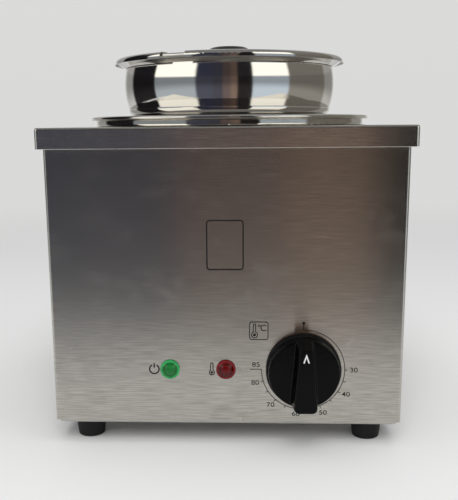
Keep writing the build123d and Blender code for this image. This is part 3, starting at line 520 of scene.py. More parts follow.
@dataclass(frozen=True)
class BrushedSteel(Finish):
    """Satin stainless sheet, brushed level, which smears reflections upwards and downwards."""

    name: str = "brushed_steel"
    tone: Colour = (0.55, 0.532, 0.487)
    deep_tone: Colour = (0.34, 0.329, 0.30)
    bright_tone: Colour = (0.84, 0.82, 0.78)
    dust_tone: Colour = (0.55, 0.54, 0.52)
    coarse_step: Point = (0.38, 0.66)
    coarse_share: float = 0.1
    fine_step: Point = (0.38, 0.62)
    fine_share: float = 0.5
    hair_share: float = 0.35
    roughness: float = 0.21
    smear: float = 0.965
    level_step: Point = (0.5, 0.9)
    line_depth: float = 0.000004
    line_strength: float = 0.12
    collar: float = 0.0
    collar_edge: float = 2.0
    collar_roughness: float = 0.08

    def draw(self, sheet: NodeSheet) -> dict[str, object]:
        """Draws the brushed lines, wiped patches, smoother edges with a painted highlight along
        them, and dust.

        Args:
            sheet: The material's sheet.

        Returns:
            The surface shader's inputs.
        """
        fine, coarse, cloud = sheet.effect(
            Effect.BRUSHED_LINES, Streak_Length=0.016, Line_Pitch=0.0007, Coarse_Pitch=0.0022
        )
        marks = sheet.effect(Effect.HANDLING_MARKS, Patch_Size=0.035, Amount=0.5)[0]
        hairs = sheet.effect(Effect.HAIR_SCRATCHES, Spacing=0.012, Amount=0.8)[0]
        edges = sheet.effect(Effect.RUBBED_EDGES, Radius=0.0007, Amount=0.8)[0]
        dust = sheet.effect(Effect.FINE_DUST, Amount=0.05)[0]
        streaks, lines = sheet.step(coarse, *self.coarse_step), sheet.step(fine, *self.fine_step)
        tint = sheet.stain(self.tone, streaks, self.coarse_share, self.deep_tone)
        tint = sheet.stain(tint, lines, self.fine_share, self.deep_tone)
        tint = sheet.stain(tint, hairs, self.hair_share, self.bright_tone)
        # Painted highlight: the bends and hems lighten towards the bright tone along the edge
        # mask.
        tint = sheet.blend(edges, tint, self.bright_tone)
        tint = sheet.blend(dust, tint, self.dust_tone)
        rough = sheet.total(
            sheet.spread(marks, self.roughness - 0.01, self.roughness + 0.06),
            sheet.spread(fine, -0.03, 0.03),
            sheet.spread(cloud, -0.02, 0.02),
            sheet.times(edges, -0.07),
        )
        if self.collar:
            rough = self.polish_collar(sheet, rough)
        level = sheet.level(*self.level_step)
        return {
            "Base Color": tint,
            "Metallic": 1.0,
            "Roughness": rough,
            "Anisotropic": self.smear,
            "Tangent": sheet.vector(0.0, level, sheet.inverse(level)),
            "Normal": sheet.bump(fine, self.line_depth, self.line_strength),
        }

    def polish_collar(self, sheet: NodeSheet, rough: Socket) -> Socket:
        """Smooths the drawn collar in the middle of the cover.

        Args:
            sheet: The material's sheet.
            rough: The sheet metal's roughness.

        Returns:
            The roughness with the collar in it.
        """
        x, y, _z = sheet.split(sheet.where())
        start, end = self.collar * MM, (self.collar + self.collar_edge) * MM
        drawn = sheet.inverse(sheet.step(sheet.length(sheet.vector(x, y, 0.0)), start, end))
        return sheet.total(rough, sheet.times(drawn, self.collar_roughness - self.roughness))


@dataclass(frozen=True)
class PolishedSteel(Finish):
    """Spun and polished stainless steel, nearly a mirror."""

    name: str = "polished_steel"
    tone: Colour = (0.74, 0.725, 0.70)
    warm_tone: Colour = (0.66, 0.64, 0.61)
    bright_tone: Colour = (0.82, 0.81, 0.80)
    dust_tone: Colour = (0.6, 0.59, 0.57)
    ring_step: Point = (0.4, 0.65)
    ring_share: float = 0.35
    hair_share: float = 0.3
    hair_depth: float = 0.8
    roughness: float = 0.055
    line_depth: float = 0.000002
    line_strength: float = 0.3

    def draw(self, sheet: NodeSheet) -> dict[str, object]:
        """Draws the spinning lines, hair scratches, water marks and dust.

        Args:
            sheet: The material's sheet.

        Returns:
            The surface shader's inputs.
        """
        fine, rings = sheet.effect(Effect.TURNED_LINES, Line_Pitch=0.0005, Ring_Pitch=0.005)
        marks = sheet.effect(Effect.HANDLING_MARKS, Patch_Size=0.018, Amount=1.0)[0]
        hairs = sheet.effect(Effect.HAIR_SCRATCHES, Spacing=0.006, Amount=0.7)[0]
        dust = sheet.effect(Effect.FINE_DUST, Amount=0.04)[0]
        rings = sheet.step(rings, *self.ring_step)
        tint = sheet.stain(self.tone, rings, self.ring_share, self.warm_tone)
        tint = sheet.stain(tint, hairs, self.hair_share, self.bright_tone)
        tint = sheet.blend(dust, tint, self.dust_tone)
        rough = sheet.total(
            sheet.spread(fine, self.roughness - 0.015, self.roughness + 0.03),
            sheet.times(marks, 0.05),
            sheet.times(hairs, 0.12),
        )
        height = sheet.math("SUBTRACT", fine, sheet.times(hairs, self.hair_depth))
        return {
            "Base Color": tint,
            "Metallic": 1.0,
            "Roughness": rough,
            "Normal": sheet.bump(height, self.line_depth, self.line_strength),
        }


@dataclass(frozen=True)
class MillMetal(Finish):
    """Plain or plated metal of the inner pieces, screws and terminals."""

    name: str
    tone: Colour
    stain: Colour
    roughness: float = 0.38
    patch: float = 0.01
    stain_share: float = 0.5
    spot_share: float = 0.25
    line_depth: float = 0.00001
    line_strength: float = 0.4

    def draw(self, sheet: NodeSheet) -> dict[str, object]:
        """Draws the tarnish clouds, the drawn lines and a few scratches.

        Args:
            sheet: The material's sheet.

        Returns:
            The surface shader's inputs.
        """
        cloud, spots = sheet.effect(Effect.TARNISH, Patch_Size=self.patch)
        hairs = sheet.effect(Effect.HAIR_SCRATCHES, Spacing=0.008, Amount=0.6)[0]
        fine = sheet.effect(Effect.BRUSHED_LINES, Streak_Length=0.012, Line_Pitch=0.0004)[0]
        tint = sheet.stain(self.tone, cloud, self.stain_share, self.stain)
        tint = sheet.stain(tint, spots, self.spot_share, self.stain)
        rough = sheet.total(
            sheet.spread(cloud, self.roughness - 0.05, self.roughness + 0.12),
            sheet.spread(fine, -0.05, 0.05),
        )
        height = sheet.math("SUBTRACT", fine, hairs)
        return {
            "Base Color": tint,
            "Metallic": 1.0,
            "Roughness": rough,
            "Normal": sheet.bump(height, self.line_depth, self.line_strength),
        }


@dataclass(frozen=True)
class MouldedPlastic(Finish):
    """Moulded plastic or rubber, with a fine skin and lighter edges, partly worn and partly a
    painted highlight.
    """

    name: str
    tone: Colour
    rubbed: Colour
    roughness: float = 0.35
    grain: float = 0.0005
    gloss: float = 0.35
    depth: float = 0.00002
    edge: float = 0.0006
    dust: float = 0.02
    dust_tone: Colour = (0.35, 0.34, 0.32)
    tone_step: Point = (0.35, 0.65)
    shade: float = 0.8
    strength: float = 0.5

    def draw(self, sheet: NodeSheet) -> dict[str, object]:
        """Draws the moulded skin, the lighter edges (wear and a painted highlight), touch marks
        and dust.

        Args:
            sheet: The material's sheet.

        Returns:
            The surface shader's inputs.
        """
        tone, height = sheet.effect(Effect.MOULDED_SKIN, Grain_Size=self.grain)
        edges = sheet.effect(Effect.RUBBED_EDGES, Radius=self.edge, Amount=0.7)[0]
        marks = sheet.effect(Effect.HANDLING_MARKS, Patch_Size=0.012, Amount=1.0)[0]
        dust = sheet.effect(Effect.FINE_DUST, Amount=self.dust)[0]
        cloudy = sheet.step(tone, *self.tone_step)
        tint = sheet.blend(cloudy, self.tone, shaded(self.tone, self.shade))
        # Lighter edges: worn edges and a painted highlight along the rims.
        tint = sheet.blend(edges, tint, self.rubbed)
        tint = sheet.blend(dust, tint, self.dust_tone)
        rough = sheet.total(
            sheet.spread(height, self.roughness - 0.04, self.roughness + 0.05),
            sheet.times(marks, 0.08),
            sheet.times(edges, -0.06),
        )
        return {
            "Base Color": tint,
            "Roughness": rough,
            "Specular IOR Level": self.gloss,
            "Normal": sheet.bump(height, self.depth, self.strength),
        }


@dataclass(frozen=True)
class LampLens(Finish):
    """Tinted clear plastic of a pilot lamp, with its moulded rings and pebbled middle; the rim's
    lighter tone is the lens's own tint with a painted highlight of the light that the rim catches.
    """

    name: str
    rim: Colour
    groove: Colour
    middle: Colour
    centre: Point
    rim_step: Point = (4.6, 5.4)
    middle_step: Point = (3.1, 3.9)
    pebble_scale: float = 1400.0
    pebble_depth: float = 0.0002
    pebble_strength: float = 0.6
    shade_scale: float = 420.0
    shade_range: Point = (0.35, 1.6)
    roughness: Point = (0.03, 0.1)

    def draw(self, sheet: NodeSheet) -> dict[str, object]:
        """Draws the rings by their distance from the lamp's middle, and the pebbles inside.

        Args:
            sheet: The material's sheet.

        Returns:
            The surface shader's inputs.
        """
        where = sheet.where()
        x, _y, z = sheet.split(where)
        side = sheet.math("SUBTRACT", x, self.centre[0] * MM)
        rise = sheet.math("SUBTRACT", z, self.centre[1] * MM)
        reach = sheet.length(sheet.vector(side, 0.0, rise))
        outside = sheet.step(reach, *(edge * MM for edge in self.rim_step))
        inside = sheet.inverse(sheet.step(reach, *(edge * MM for edge in self.middle_step)))
        names = {"Vector": where, "Scale": self.pebble_scale}
        pebbles = sheet.add("TexVoronoi", names).outputs["Distance"]
        shade = sheet.spread(sheet.noise(where, self.shade_scale, 3.0), *self.shade_range)
        # The rim's lighter tone: the lens's tint with a painted highlight of the light caught in
        # the rim.
        tint = sheet.blend(outside, self.groove, self.rim)
        tint = sheet.blend(inside, tint, self.middle)
        skin = sheet.effect(Effect.MOULDED_SKIN, Grain_Size=0.0006)[1]
        height = sheet.times(pebbles, inside)
        return {
            "Base Color": sheet.dimmed(tint, shade),
            "Roughness": sheet.spread(skin, *self.roughness),
            "Transmission Weight": 0.08,
            "IOR": 1.49,
            "Specular IOR Level": 0.3,
            "Normal": sheet.bump(height, self.pebble_depth, self.pebble_strength),
        }


@dataclass(frozen=True)
class ClearGlass(Finish):
    """Thin clear glass of the neon bulbs, with a grey film on it."""

    name: str = "neon_glass"
    tone: Colour = (0.95, 0.86, 0.76)
    film_tone: Colour = (0.8, 0.72, 0.66)
    roughness: Point = (0.03, 0.12)

    def draw(self, sheet: NodeSheet) -> dict[str, object]:
        """Draws the film's clouds in the glass.

        Args:
            sheet: The material's sheet.

        Returns:
            The surface shader's inputs.
        """
        film, spots = sheet.effect(Effect.TARNISH, Patch_Size=0.002)
        return {
            "Base Color": sheet.blend(film, self.tone, self.film_tone),
            "Roughness": sheet.spread(spots, *self.roughness),
            "Transmission Weight": 0.85,
            "IOR": 1.5,
        }


@dataclass(frozen=True)
class PrintInk(Finish):
    """Screen-printed ink, a little uneven."""

    name: str
    tone: Colour
    thin_tone: Colour
    thin_step: Point = (0.5, 0.75)
    thin_share: float = 0.5
    roughness: Point = (0.42, 0.6)
    depth: float = 0.000006
    strength: float = 0.3

    def draw(self, sheet: NodeSheet) -> dict[str, object]:
        """Draws the ink's uneven cover and its fine skin.

        Args:
            sheet: The material's sheet.

        Returns:
            The surface shader's inputs.
        """
        tone, height = sheet.effect(Effect.MOULDED_SKIN, Grain_Size=0.0003)
        thin = sheet.step(height, *self.thin_step)
        return {
            "Base Color": sheet.stain(self.tone, thin, self.thin_share, self.thin_tone),
            "Roughness": sheet.spread(tone, *self.roughness),
            "Specular IOR Level": 0.3,
            "Normal": sheet.bump(height, self.depth, self.strength),
        }


@dataclass(frozen=True)
class MineralWool(Finish):
    """Felted mineral wool of the jacket round the well."""

    name: str = "mineral_wool"
    tone: Colour = (0.72, 0.67, 0.5)
    lump_tone: Colour = (0.6, 0.52, 0.34)
    fibre_tone: Colour = (0.86, 0.83, 0.72)
    lump_scale: float = 60.0
    lump_step: Point = (0.35, 0.65)
    fibre_scale: float = 420.0
    fibre_step: Point = (0.45, 0.7)
    fibre_pull: Triple = (1.0, 1.0, 5.0)
    fibre_depth: float = 0.5
    roughness: Point = (0.85, 1.0)
    depth: float = 0.0012
    strength: float = 0.8

    def draw(self, sheet: NodeSheet) -> dict[str, object]:
        """Draws tangled fibres and lumps.

        Args:
            sheet: The material's sheet.

        Returns:
            The surface shader's inputs.
        """
        where = sheet.where()
        names = {"Vector": where, "Scale": self.lump_scale, "Distortion": 2.5, "Detail": 5.0}
        lumps = sheet.add("TexNoise", names).outputs["Fac"]
        pulled = sheet.pulled(where, self.fibre_pull)
        names = {"Vector": pulled, "Scale": self.fibre_scale, "Distortion": 1.5}
        fibre = sheet.add("TexNoise", names).outputs["Fac"]
        tint = sheet.blend(sheet.step(lumps, *self.lump_step), self.tone, self.lump_tone)
        tint = sheet.blend(sheet.step(fibre, *self.fibre_step), tint, self.fibre_tone)
        height = sheet.total(sheet.times(fibre, self.fibre_depth), lumps)
        return {
            "Base Color": tint,
            "Roughness": sheet.spread(fibre, *self.roughness),
            "Sheen Weight": 0.2,
            "Normal": sheet.bump(height, self.depth, self.strength),
        }


@dataclass(frozen=True)
class Sleeving(Finish):
    """Insulation of the inner leads, in one colour or with a yellow stripe."""

    name: str
    tone: Colour
    stripe_share: float = 0.0
    stripe: Colour = (0.80, 0.68, 0.05)
    stripe_scale: float = 1500.0
    stripe_step: Point = (-0.1, 0.1)
    mark_shade: float = 0.6
    roughness: Point = (0.38, 0.55)
    depth: float = 0.00002
    strength: float = 0.3

    def draw(self, sheet: NodeSheet) -> dict[str, object]:
        """Draws the stripe, the sleeve's skin and the marks of handling.

        Args:
            sheet: The material's sheet.

        Returns:
            The surface shader's inputs.
        """
        lean = sheet.total(*sheet.split(sheet.where()))
        wave = sheet.math("SINE", sheet.times(lean, self.stripe_scale))
        skin = sheet.effect(Effect.MOULDED_SKIN, Grain_Size=0.0008)[1]
        marks = sheet.effect(Effect.HANDLING_MARKS, Patch_Size=0.008, Amount=0.5)[0]
        band = sheet.step(wave, *self.stripe_step)
        tint = sheet.stain(self.tone, band, self.stripe_share, self.stripe)
        return {
            "Base Color": sheet.blend(marks, tint, shaded(self.tone, self.mark_shade)),
            "Roughness": sheet.spread(skin, *self.roughness),
            "Specular IOR Level": 0.4,
            "Normal": sheet.bump(skin, self.depth, self.strength),
        }


COVER_STEEL = BrushedSteel(
    "brushed_cover_steel", (0.76, 0.74, 0.69), (0.50, 0.485, 0.445), collar=112.0
)
HIDDEN_STEEL = MillMetal("mill_steel", (0.52, 0.51, 0.50), (0.40, 0.38, 0.36))
HEATED_STEEL = MillMetal(
    "heated_steel", (0.46, 0.42, 0.38), (0.26, 0.22, 0.24), 0.42, 0.015, 0.7
)
ALUMINIUM = MillMetal(
    "rolled_aluminium", (0.80, 0.80, 0.81), (0.66, 0.66, 0.66), 0.34, 0.012, 0.4
)
ZINC = MillMetal("zinc_plate", (0.66, 0.66, 0.65), (0.56, 0.55, 0.46), 0.3, 0.004, 0.35)
BRASS = MillMetal("brass", (0.76, 0.60, 0.28), (0.50, 0.37, 0.17), 0.28, 0.005)
COPPER = MillMetal("copper", (0.72, 0.40, 0.25), (0.42, 0.22, 0.14), 0.3, 0.008, 0.6)
RUBBER = MouldedPlastic(
    "foot_rubber",
    tone=(0.010, 0.010, 0.010),
    rubbed=(0.03, 0.03, 0.03),
    roughness=0.62,
    grain=0.0007,
    gloss=0.25,
    depth=0.00004,
    edge=0.0008,
    dust=0.05,
)
# Its lighter edge tone paints the highlight arcs along the drum's rims and the grip.
KNOB_PLASTIC = MouldedPlastic(
    "knob_plastic",
    tone=(0.0012, 0.0012, 0.0015),
    rubbed=(0.045, 0.045, 0.048),
    roughness=0.2,
    grain=0.0007,
    gloss=0.1,
    depth=0.000012,
    edge=0.0012,
)
LID_KNOB_PLASTIC = MouldedPlastic(
    "lid_knob_plastic", (0.013, 0.012, 0.012), (0.05, 0.048, 0.045), 0.42, 0.0006
)
CREAM_PLASTIC = MouldedPlastic(
    "cream_plastic", (0.66, 0.61, 0.48), (0.74, 0.7, 0.58), 0.45, 0.0006, 0.4
)
DARK_PLASTIC = MouldedPlastic(
    "dark_plastic", (0.028, 0.028, 0.029), (0.08, 0.08, 0.08), 0.5, depth=0.00003
)
BLACK_INK = PrintInk("black_ink", (0.008, 0.008, 0.008), (0.035, 0.034, 0.032))
WHITE_INK = PrintInk("white_ink", (0.80, 0.81, 0.82), (0.62, 0.63, 0.64))
GREEN_LENS = LampLens(
    "green_lens",
    rim=(0.03, 0.36, 0.10),
    groove=(0.004, 0.13, 0.02),
    middle=(0.012, 0.17, 0.035),
    centre=(-37.5, 53.4),
)
RED_LENS = LampLens(
    "red_lens",
    rim=(0.17, 0.004, 0.006),
    groove=(0.06, 0.0008, 0.0012),
    middle=(0.11, 0.002, 0.003),
    centre=(-0.3, 53.4),
)
Worn = tuple[tuple[Finish | str, ...], ...]


class Workshop:
    """Keeps the frame, the shared effects and one material for each finish."""

    def __init__(self, frame: dict) -> None:
        """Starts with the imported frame.
        """
        self.frame = frame
        self.effects = Effects()
        self.made: dict[str, bpy.types.Material] = {}

    def finish(self, finish: Finish) -> bpy.types.Material:
        """Gives a finish's material, and builds it the first time.

        Args:
            finish: The finish.

        Returns:
            Its material.
        """
        if finish.name not in self.made:
            self.made[finish.name] = finish.material(self.effects)
        return self.made[finish.name]

    def dress(self, finish: Finish, *nodes: str) -> None:
        """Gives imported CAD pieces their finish.

        Args:
            finish: The finish.
            nodes: The pieces' names.
        """
        material = self.finish(finish)
        for name in nodes:
            piece = self.frame["nodes"][name]
            if not piece.material_slots:
                piece.data.materials.append(material)
            for place in piece.material_slots:
                place.material = material
            log.info("dressed %s in %s", name, finish.name)

    def mount(self, piece: bpy.types.Object, body: str, slot: str, finish: Finish) -> None:
        """Puts a new piece on a body, in a finish.

        Args:
            piece: The new piece.
            body: The body that carries it.
            slot: Not used.
            finish: Its finish.
        """
        piece.data.materials.append(self.finish(finish))
        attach(piece, body)
        log.info("built %s on %s", piece.name, body)


@dataclass
class Stencil:
    """Thin raised print on the front panel, cut from lines, rings, discs and numerals."""

    face: float
    gap: float = 0.004
    thickness: float = 0.05
    mitre_limit: float = 0.4
    turn_steps: int = 120
    fewest_steps: int = 12
    disc_sides: int = 32
    corner_steps: int = 6
    bulb_steps: int = 28
    tube_steps: int = 8
    dot_share: float = 0.46
    boldness: float = 0.005
    relief: float = 0.01
    merge: float = 1e-7

    def __post_init__(self) -> None:
        """Starts an empty stencil just in front of the panel's face."""
        self.back = (self.face - self.gap) * MM
        self.front = (self.face - self.thickness) * MM
        self.mesh = bmesh.new()

    def _row(self, points: list[Point], depth: float) -> list[bmesh.types.BMVert]:
        """Makes vertices at points of the panel, in millimetres, at a depth in metres."""
        return [self.mesh.verts.new((x * MM, depth, z * MM)) for x, z in points]

    def ribbon(self, left: list[Point], right: list[Point], closed: bool = False) -> None:
        """Makes a flat solid strip between two lines of points.

        Args:
            left: One edge.
            right: The other edge, with as many points.
            closed: Whether the strip joins up with its own start.
        """
        left_front, left_back = self._row(left, self.front), self._row(left, self.back)
        right_front, right_back = self._row(right, self.front), self._row(right, self.back)
        loop = (left_front, right_front, right_back, left_back)
        count = len(left)
        for i in range(count if closed else count - 1):
            j = (i + 1) % count
            for a, b in zip(loop, (*loop[1:], loop[0])):
                self.mesh.faces.new((a[i], a[j], b[j], b[i]))
        if not closed:
            for i in (0, count - 1):
                self.mesh.faces.new([row[i] for row in loop])

    def line(self, points: list[Point], width: float) -> None:
        """Draws a line with square corners through points.

        Args:
            points: The line's corners.
            width: Its width.
        """
        spans = [(Vector(b) - Vector(a)).normalized() for a, b in zip(points, points[1:])]
        left, right = [], []
        for i, point in enumerate(points):
            here = Vector(point)
            ways = spans[max(0, i - 1) : i + 1]
            mean = sum(ways, Vector((0.0, 0.0))).normalized()
            across = Vector((-mean.y, mean.x))
            lean = across.dot(Vector((-ways[0].y, ways[0].x)))
            reach = width / 2 / max(self.mitre_limit, lean)
            left.append(tuple(here + across * reach))
            right.append(tuple(here - across * reach))
        self.ribbon(left, right)

    def arc(self, centre: Point, radius: float, width: float, start: float, sweep: float) -> None:
        """Draws an arc, with angles clockwise from the top in degrees.

        Args:
            centre: The arc's middle.
            radius: Its middle radius.
            width: Its line's width.
            start: Where it starts.
            sweep: How far it turns; 360 closes it.
        """
        closed = abs(sweep) >= 360
        steps = max(self.fewest_steps, int(abs(sweep) / 360 * self.turn_steps))
        count = steps if closed else steps + 1
        turns = [math.radians(start + sweep * i / steps) for i in range(count)]
        reaches = (radius + width / 2, radius - width / 2)
        edges = [[around(centre, reach, turn) for turn in turns] for reach in reaches]
        self.ribbon(*edges, closed=closed)

    def disc(self, centre: Point, radius: float) -> None:
        """Draws a filled disc.

        Args:
            centre: Its middle.
            radius: Its radius.
        """
        sides = range(self.disc_sides)
        rim = [around(centre, radius, FULL_TURN * i / self.disc_sides) for i in sides]
        front, back = self._row(rim, self.front), self._row(rim, self.back)
        self.mesh.faces.new(front)
        self.mesh.faces.new(back)
        for i in sides:
            j = (i + 1) % self.disc_sides
            self.mesh.faces.new((front[i], front[j], back[j], back[i]))

    def frame(self, low: Point, high: Point, corner: float, width: float) -> None:
        """Draws a rectangle's outline with round corners.

        Args:
            low: Its lower left corner.
            high: Its upper right corner.
            corner: The corners' radius.
            width: Its line's width.
        """
        left, right = low[0] + corner, high[0] - corner
        bottom, top = low[1] + corner, high[1] - corner
        middles = ((right, top), (right, bottom), (left, bottom), (left, top))
        edges = []
        for reach in (corner + width / 2, corner - width / 2):
            edge = []
            for quarter, middle in enumerate(middles):
                for i in range(self.corner_steps + 1):
                    turn = math.radians(90 * (quarter + i / self.corner_steps))
                    edge.append(around(middle, reach, turn))
            edges.append(edge)
        self.ribbon(*edges, closed=True)

    def thermometer(
        self, bulb: Point, top: float, radius: float, half: float, width: float
    ) -> None:
        """Draws a thermometer's outline with a dot in its bulb.

        Args:
            bulb: The bulb's middle.
            top: The tube's highest point.
            radius: The bulb's outer radius.
            half: Half the tube's outer width.
            width: The line's width.
        """
        edges = []
        for inset in (0.0, width):
            reach, side = radius - inset, half - inset
            neck = math.asin(side / reach)
            sweep = FULL_TURN - 2 * neck
            turns = [neck + sweep * i / self.bulb_steps for i in range(self.bulb_steps + 1)]
            edge = [around(bulb, reach, turn) for turn in turns]
            for i in range(self.tube_steps + 1):
                turn = math.pi * i / self.tube_steps
                edge.append((bulb[0] - side * math.cos(turn), top - half + side * math.sin(turn)))
            edges.append(edge)
        self.ribbon(*edges, closed=True)
        self.disc(bulb, radius * self.dot_share)

    def numeral(self, text: str, centre: Point, height: float, squeeze: float) -> None:
        """Draws plain numerals or a unit, upright, at an exact height.

        Args:
            text: What to write.
            centre: Its middle.
            height: Its height.
            squeeze: How wide it is, beside the font's own width.
        """
        curve = bpy.data.curves.new("numeral", "FONT")
        curve.body = text
        curve.extrude = self.relief
        curve.offset = self.boldness
        holder = bpy.data.objects.new("numeral", curve)
        drawn = bpy.data.meshes.new_from_object(holder)
        corners = [vertex.co for vertex in drawn.vertices]
        low = Vector([min(corner[i] for corner in corners) for i in range(3)])
        high = Vector([max(corner[i] for corner in corners) for i in range(3)])
        scale = height * MM / (high.y - low.y)
        middle = (low + high) / 2
        depth = (self.back - self.front) / (high.z - low.z)
        place = Vector((centre[0] * MM, (self.front + self.back) / 2, centre[1] * MM))
        for vertex in drawn.vertices:
            off = vertex.co - middle
            vertex.co = place + Vector((off.x * scale * squeeze, -off.z * depth, off.y * scale))
        self.mesh.from_mesh(drawn)
        bpy.data.objects.remove(holder)
        bpy.data.curves.remove(curve)
        bpy.data.meshes.remove(drawn)

    def piece(self, name: str) -> bpy.types.Object:
        """Closes the stencil into one piece.

        Args:
            name: The piece's name.

        Returns:
            The piece, linked to the scene.
        """
        bmesh.ops.remove_doubles(self.mesh, verts=self.mesh.verts, dist=self.merge)
        bmesh.ops.recalc_face_normals(self.mesh, faces=self.mesh.faces)
        mesh = bpy.data.meshes.new(name)
        self.mesh.to_mesh(mesh)
        self.mesh.free()
        piece = bpy.data.objects.new(name, mesh)
        bpy.context.scene.collection.objects.link(piece)
        return piece


@dataclass
class SubAssembly:
    """What every sub-assembly shares: the workshop, and its finishes, each with its pieces."""

    shop: Workshop
    worn: Worn = ()

    def build(self) -> None:
        """Dresses the sub-assembly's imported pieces."""
        for finish, *nodes in self.worn:
            self.shop.dress(finish, *nodes)


@dataclass
class Housing(SubAssembly):
    """The folded steel case: shell, rear panel, cover, base and feet."""

    worn: Worn = (
        (BrushedSteel(), "housing_shell", "rear_panel"),
        (COVER_STEEL, "top_cover"),
        (HIDDEN_STEEL, "base_plate", "cover_brackets"),
        (ZINC, "rear_panel_screws", "base_screws", "foot_screws", "foot_nuts"),
        (RUBBER, "feet"),
    )


@dataclass
class WaterBath(SubAssembly):
    """The drawn well with its element, clamp, shield and jacket."""

    worn: Worn = (
        (PolishedSteel(), "water_well"),
        (HEATED_STEEL, "heating_element", "element_clamp"),
        (HIDDEN_STEEL, "heat_shield"),
        (ALUMINIUM, "heat_spreader"),
        (ZINC, "well_studs", "clamp_nuts", "shield_spacers", "shield_nuts", "element_pins"),
        (MineralWool(), "well_jacket"),
    )


@dataclass
class ServingPot(SubAssembly):
    """The support ring, the pot that hangs in it, and its lid."""

    worn: Worn = (
        (PolishedSteel(), "support_ring", "pot", "lid"),
        (LID_KNOB_PLASTIC, "lid_knob"),
        (ZINC, "lid_knob_screw", "lid_knob_washer"),
    )


@dataclass
class ControlPanel(SubAssembly):
    """The front panel's print, the knob on its scale, and the thermostat behind."""

    worn: Worn = (
        (KNOB_PLASTIC, "control_knob"),
        (WHITE_INK, "knob_pointer"),
        (ZINC, "knob_spring_ring", "thermostat_screws", "thermostat_shaft", "cut_out_screws"),
        (HIDDEN_STEEL, "thermostat_bracket", "bulb_clips"),
        (CREAM_PLASTIC, "thermostat_body"),
        (DARK_PLASTIC, "thermal_cut_out"),
        (BRASS, "thermostat_tabs", "cut_out_tabs"),
        (COPPER, "sensor_bulb", "capillary_tube"),
    )
    face: float = -116.0
    dial: Point = (50.7, 53.3)
    scale_radius: float = 27.4
    scale_sweep: float = 270.0
    line: float = 0.5
    tick: float = 1.7
    tick_step: int = 5
    lowest: int = 30
    highest: int = 85
    off_mark: float = 31.6
    off_line: float = 0.6
    off_dot: float = 1.05
    off_dot_lift: float = 0.3
    end_line: float = 15.9
    end_line_lift: float = 0.35
    overlap: float = 0.1
    numeral_height: float = 3.3
    numeral_squeeze: float = 1.18
    power_place: Point = (-48.1, 53.4)
    power_radius: float = 3.15
    power_line: float = 0.95
    power_arc: Point = (28.0, 304.0)
    power_bar: Point = (54.3, 57.5)

    def build(self) -> None:
        """Builds the print and dresses the panel's pieces."""
        for name, draw in (
            ("dial_scale", self.draw_scale),
            ("dial_numerals", self.draw_numerals),
            ("unit_badge", self.draw_unit_badge),
            ("power_symbol", self.draw_power_symbol),
            ("heat_symbol", self.draw_heat_symbol),
            ("plain_frame", self.draw_plain_frame),
        ):
            stencil = Stencil(self.face)
            draw(stencil)
            self.shop.mount(stencil.piece(name), "housing", "dark_plastic", BLACK_INK)
        super().build()

    def on_scale(self, turn: float, reach: float) -> Point:
        """Gives the point of the dial at an angle, in degrees clockwise, and a distance."""
        return around(self.dial, reach, math.radians(turn))

    def turn_of(self, degrees: float) -> float:
        """Gives the angle on the dial where a temperature stands."""
        return 90.0 + (degrees - self.lowest) * 180.0 / (self.highest - self.lowest)

    def draw_scale(self, stencil: Stencil) -> None:
        """Draws the scale's arc, its off mark, its ticks and its end line.

        Args:
            stencil: Where to draw.
        """
        radius, (dial_x, dial_z) = self.scale_radius, self.dial
        stencil.arc(self.dial, radius, self.line, 0.0, self.scale_sweep)
        ends = [self.on_scale(0, radius - 2 * self.overlap), self.on_scale(0, self.off_mark)]
        stencil.line(ends, self.off_line)
        stencil.disc(self.on_scale(0, self.off_mark + self.off_dot_lift), self.off_dot)
        for degrees in range(self.lowest, self.highest, self.tick_step):
            turn = self.turn_of(degrees)
            ends = [self.on_scale(turn, radius), self.on_scale(turn, radius + self.tick)]
            stencil.line(ends, self.line)
        left, level = dial_x - radius, dial_z + self.end_line_lift
        corners = [(left, dial_z - self.overlap), (left, level), (self.end_line, level)]
        stencil.line(corners, self.line)

    def draw_numerals(self, stencil: Stencil) -> None:
        """Draws the scale's temperatures.

        Args:
            stencil: Where to draw.
        """
        for text, place in (
            ("30", (84.1, 53.4)),
            ("40", (79.2, 36.6)),
            ("50", (64.3, 23.7)),
            ("60", (46.2, 22.6)),
            ("70", (29.4, 29.0)),
            ("80", (19.1, 44.4)),
            ("85", (19.6, 56.9)),
        ):
            stencil.numeral(text, place, self.numeral_height, self.numeral_squeeze)

    def draw_unit_badge(self, stencil: Stencil) -> None:
        """Draws the rounded frame with a thermometer and the unit.

        Args:
            stencil: Where to draw.
        """
        stencil.frame((15.35, 74.1), (27.45, 86.0), corner=1.6, width=0.62)
        stencil.thermometer((18.6, 77.2), top=84.9, radius=2.3, half=1.05, width=0.6)
        stencil.arc((21.7, 83.4), radius=0.65, width=0.42, start=0.0, sweep=360.0)
        stencil.numeral("C", (24.4, 82.1), height=4.4, squeeze=1.0)

    def draw_power_symbol(self, stencil: Stencil) -> None:
        """Draws the mains symbol beside the green lamp.

        Args:
            stencil: Where to draw.
        """
        stencil.arc(self.power_place, self.power_radius, self.power_line, *self.power_arc)
        stencil.line([(self.power_place[0], end) for end in self.power_bar], self.power_line)

    def draw_heat_symbol(self, stencil: Stencil) -> None:
        """Draws the thermometer beside the red lamp."""
        stencil.thermometer((-9.7, 51.25), top=58.2, radius=2.05, half=1.15, width=0.68)

    def draw_plain_frame(self, stencil: Stencil) -> None:
        """Draws a plain rounded frame above the controls."""
        stencil.frame((-12.2, 121.0), (11.2, 152.9), corner=2.0, width=0.9)


@dataclass
class PilotLamps(SubAssembly):
    """The green and red lamps, with their bulbs and holders."""

    worn: Worn = (
        (GREEN_LENS, "green_lens"),
        (RED_LENS, "red_lens"),
        (ClearGlass(), "neon_bulbs"),
        (DARK_PLASTIC, "lamp_holders"),
        (ZINC, "lamp_nuts"),
        (BRASS, "lamp_tabs"),
    )


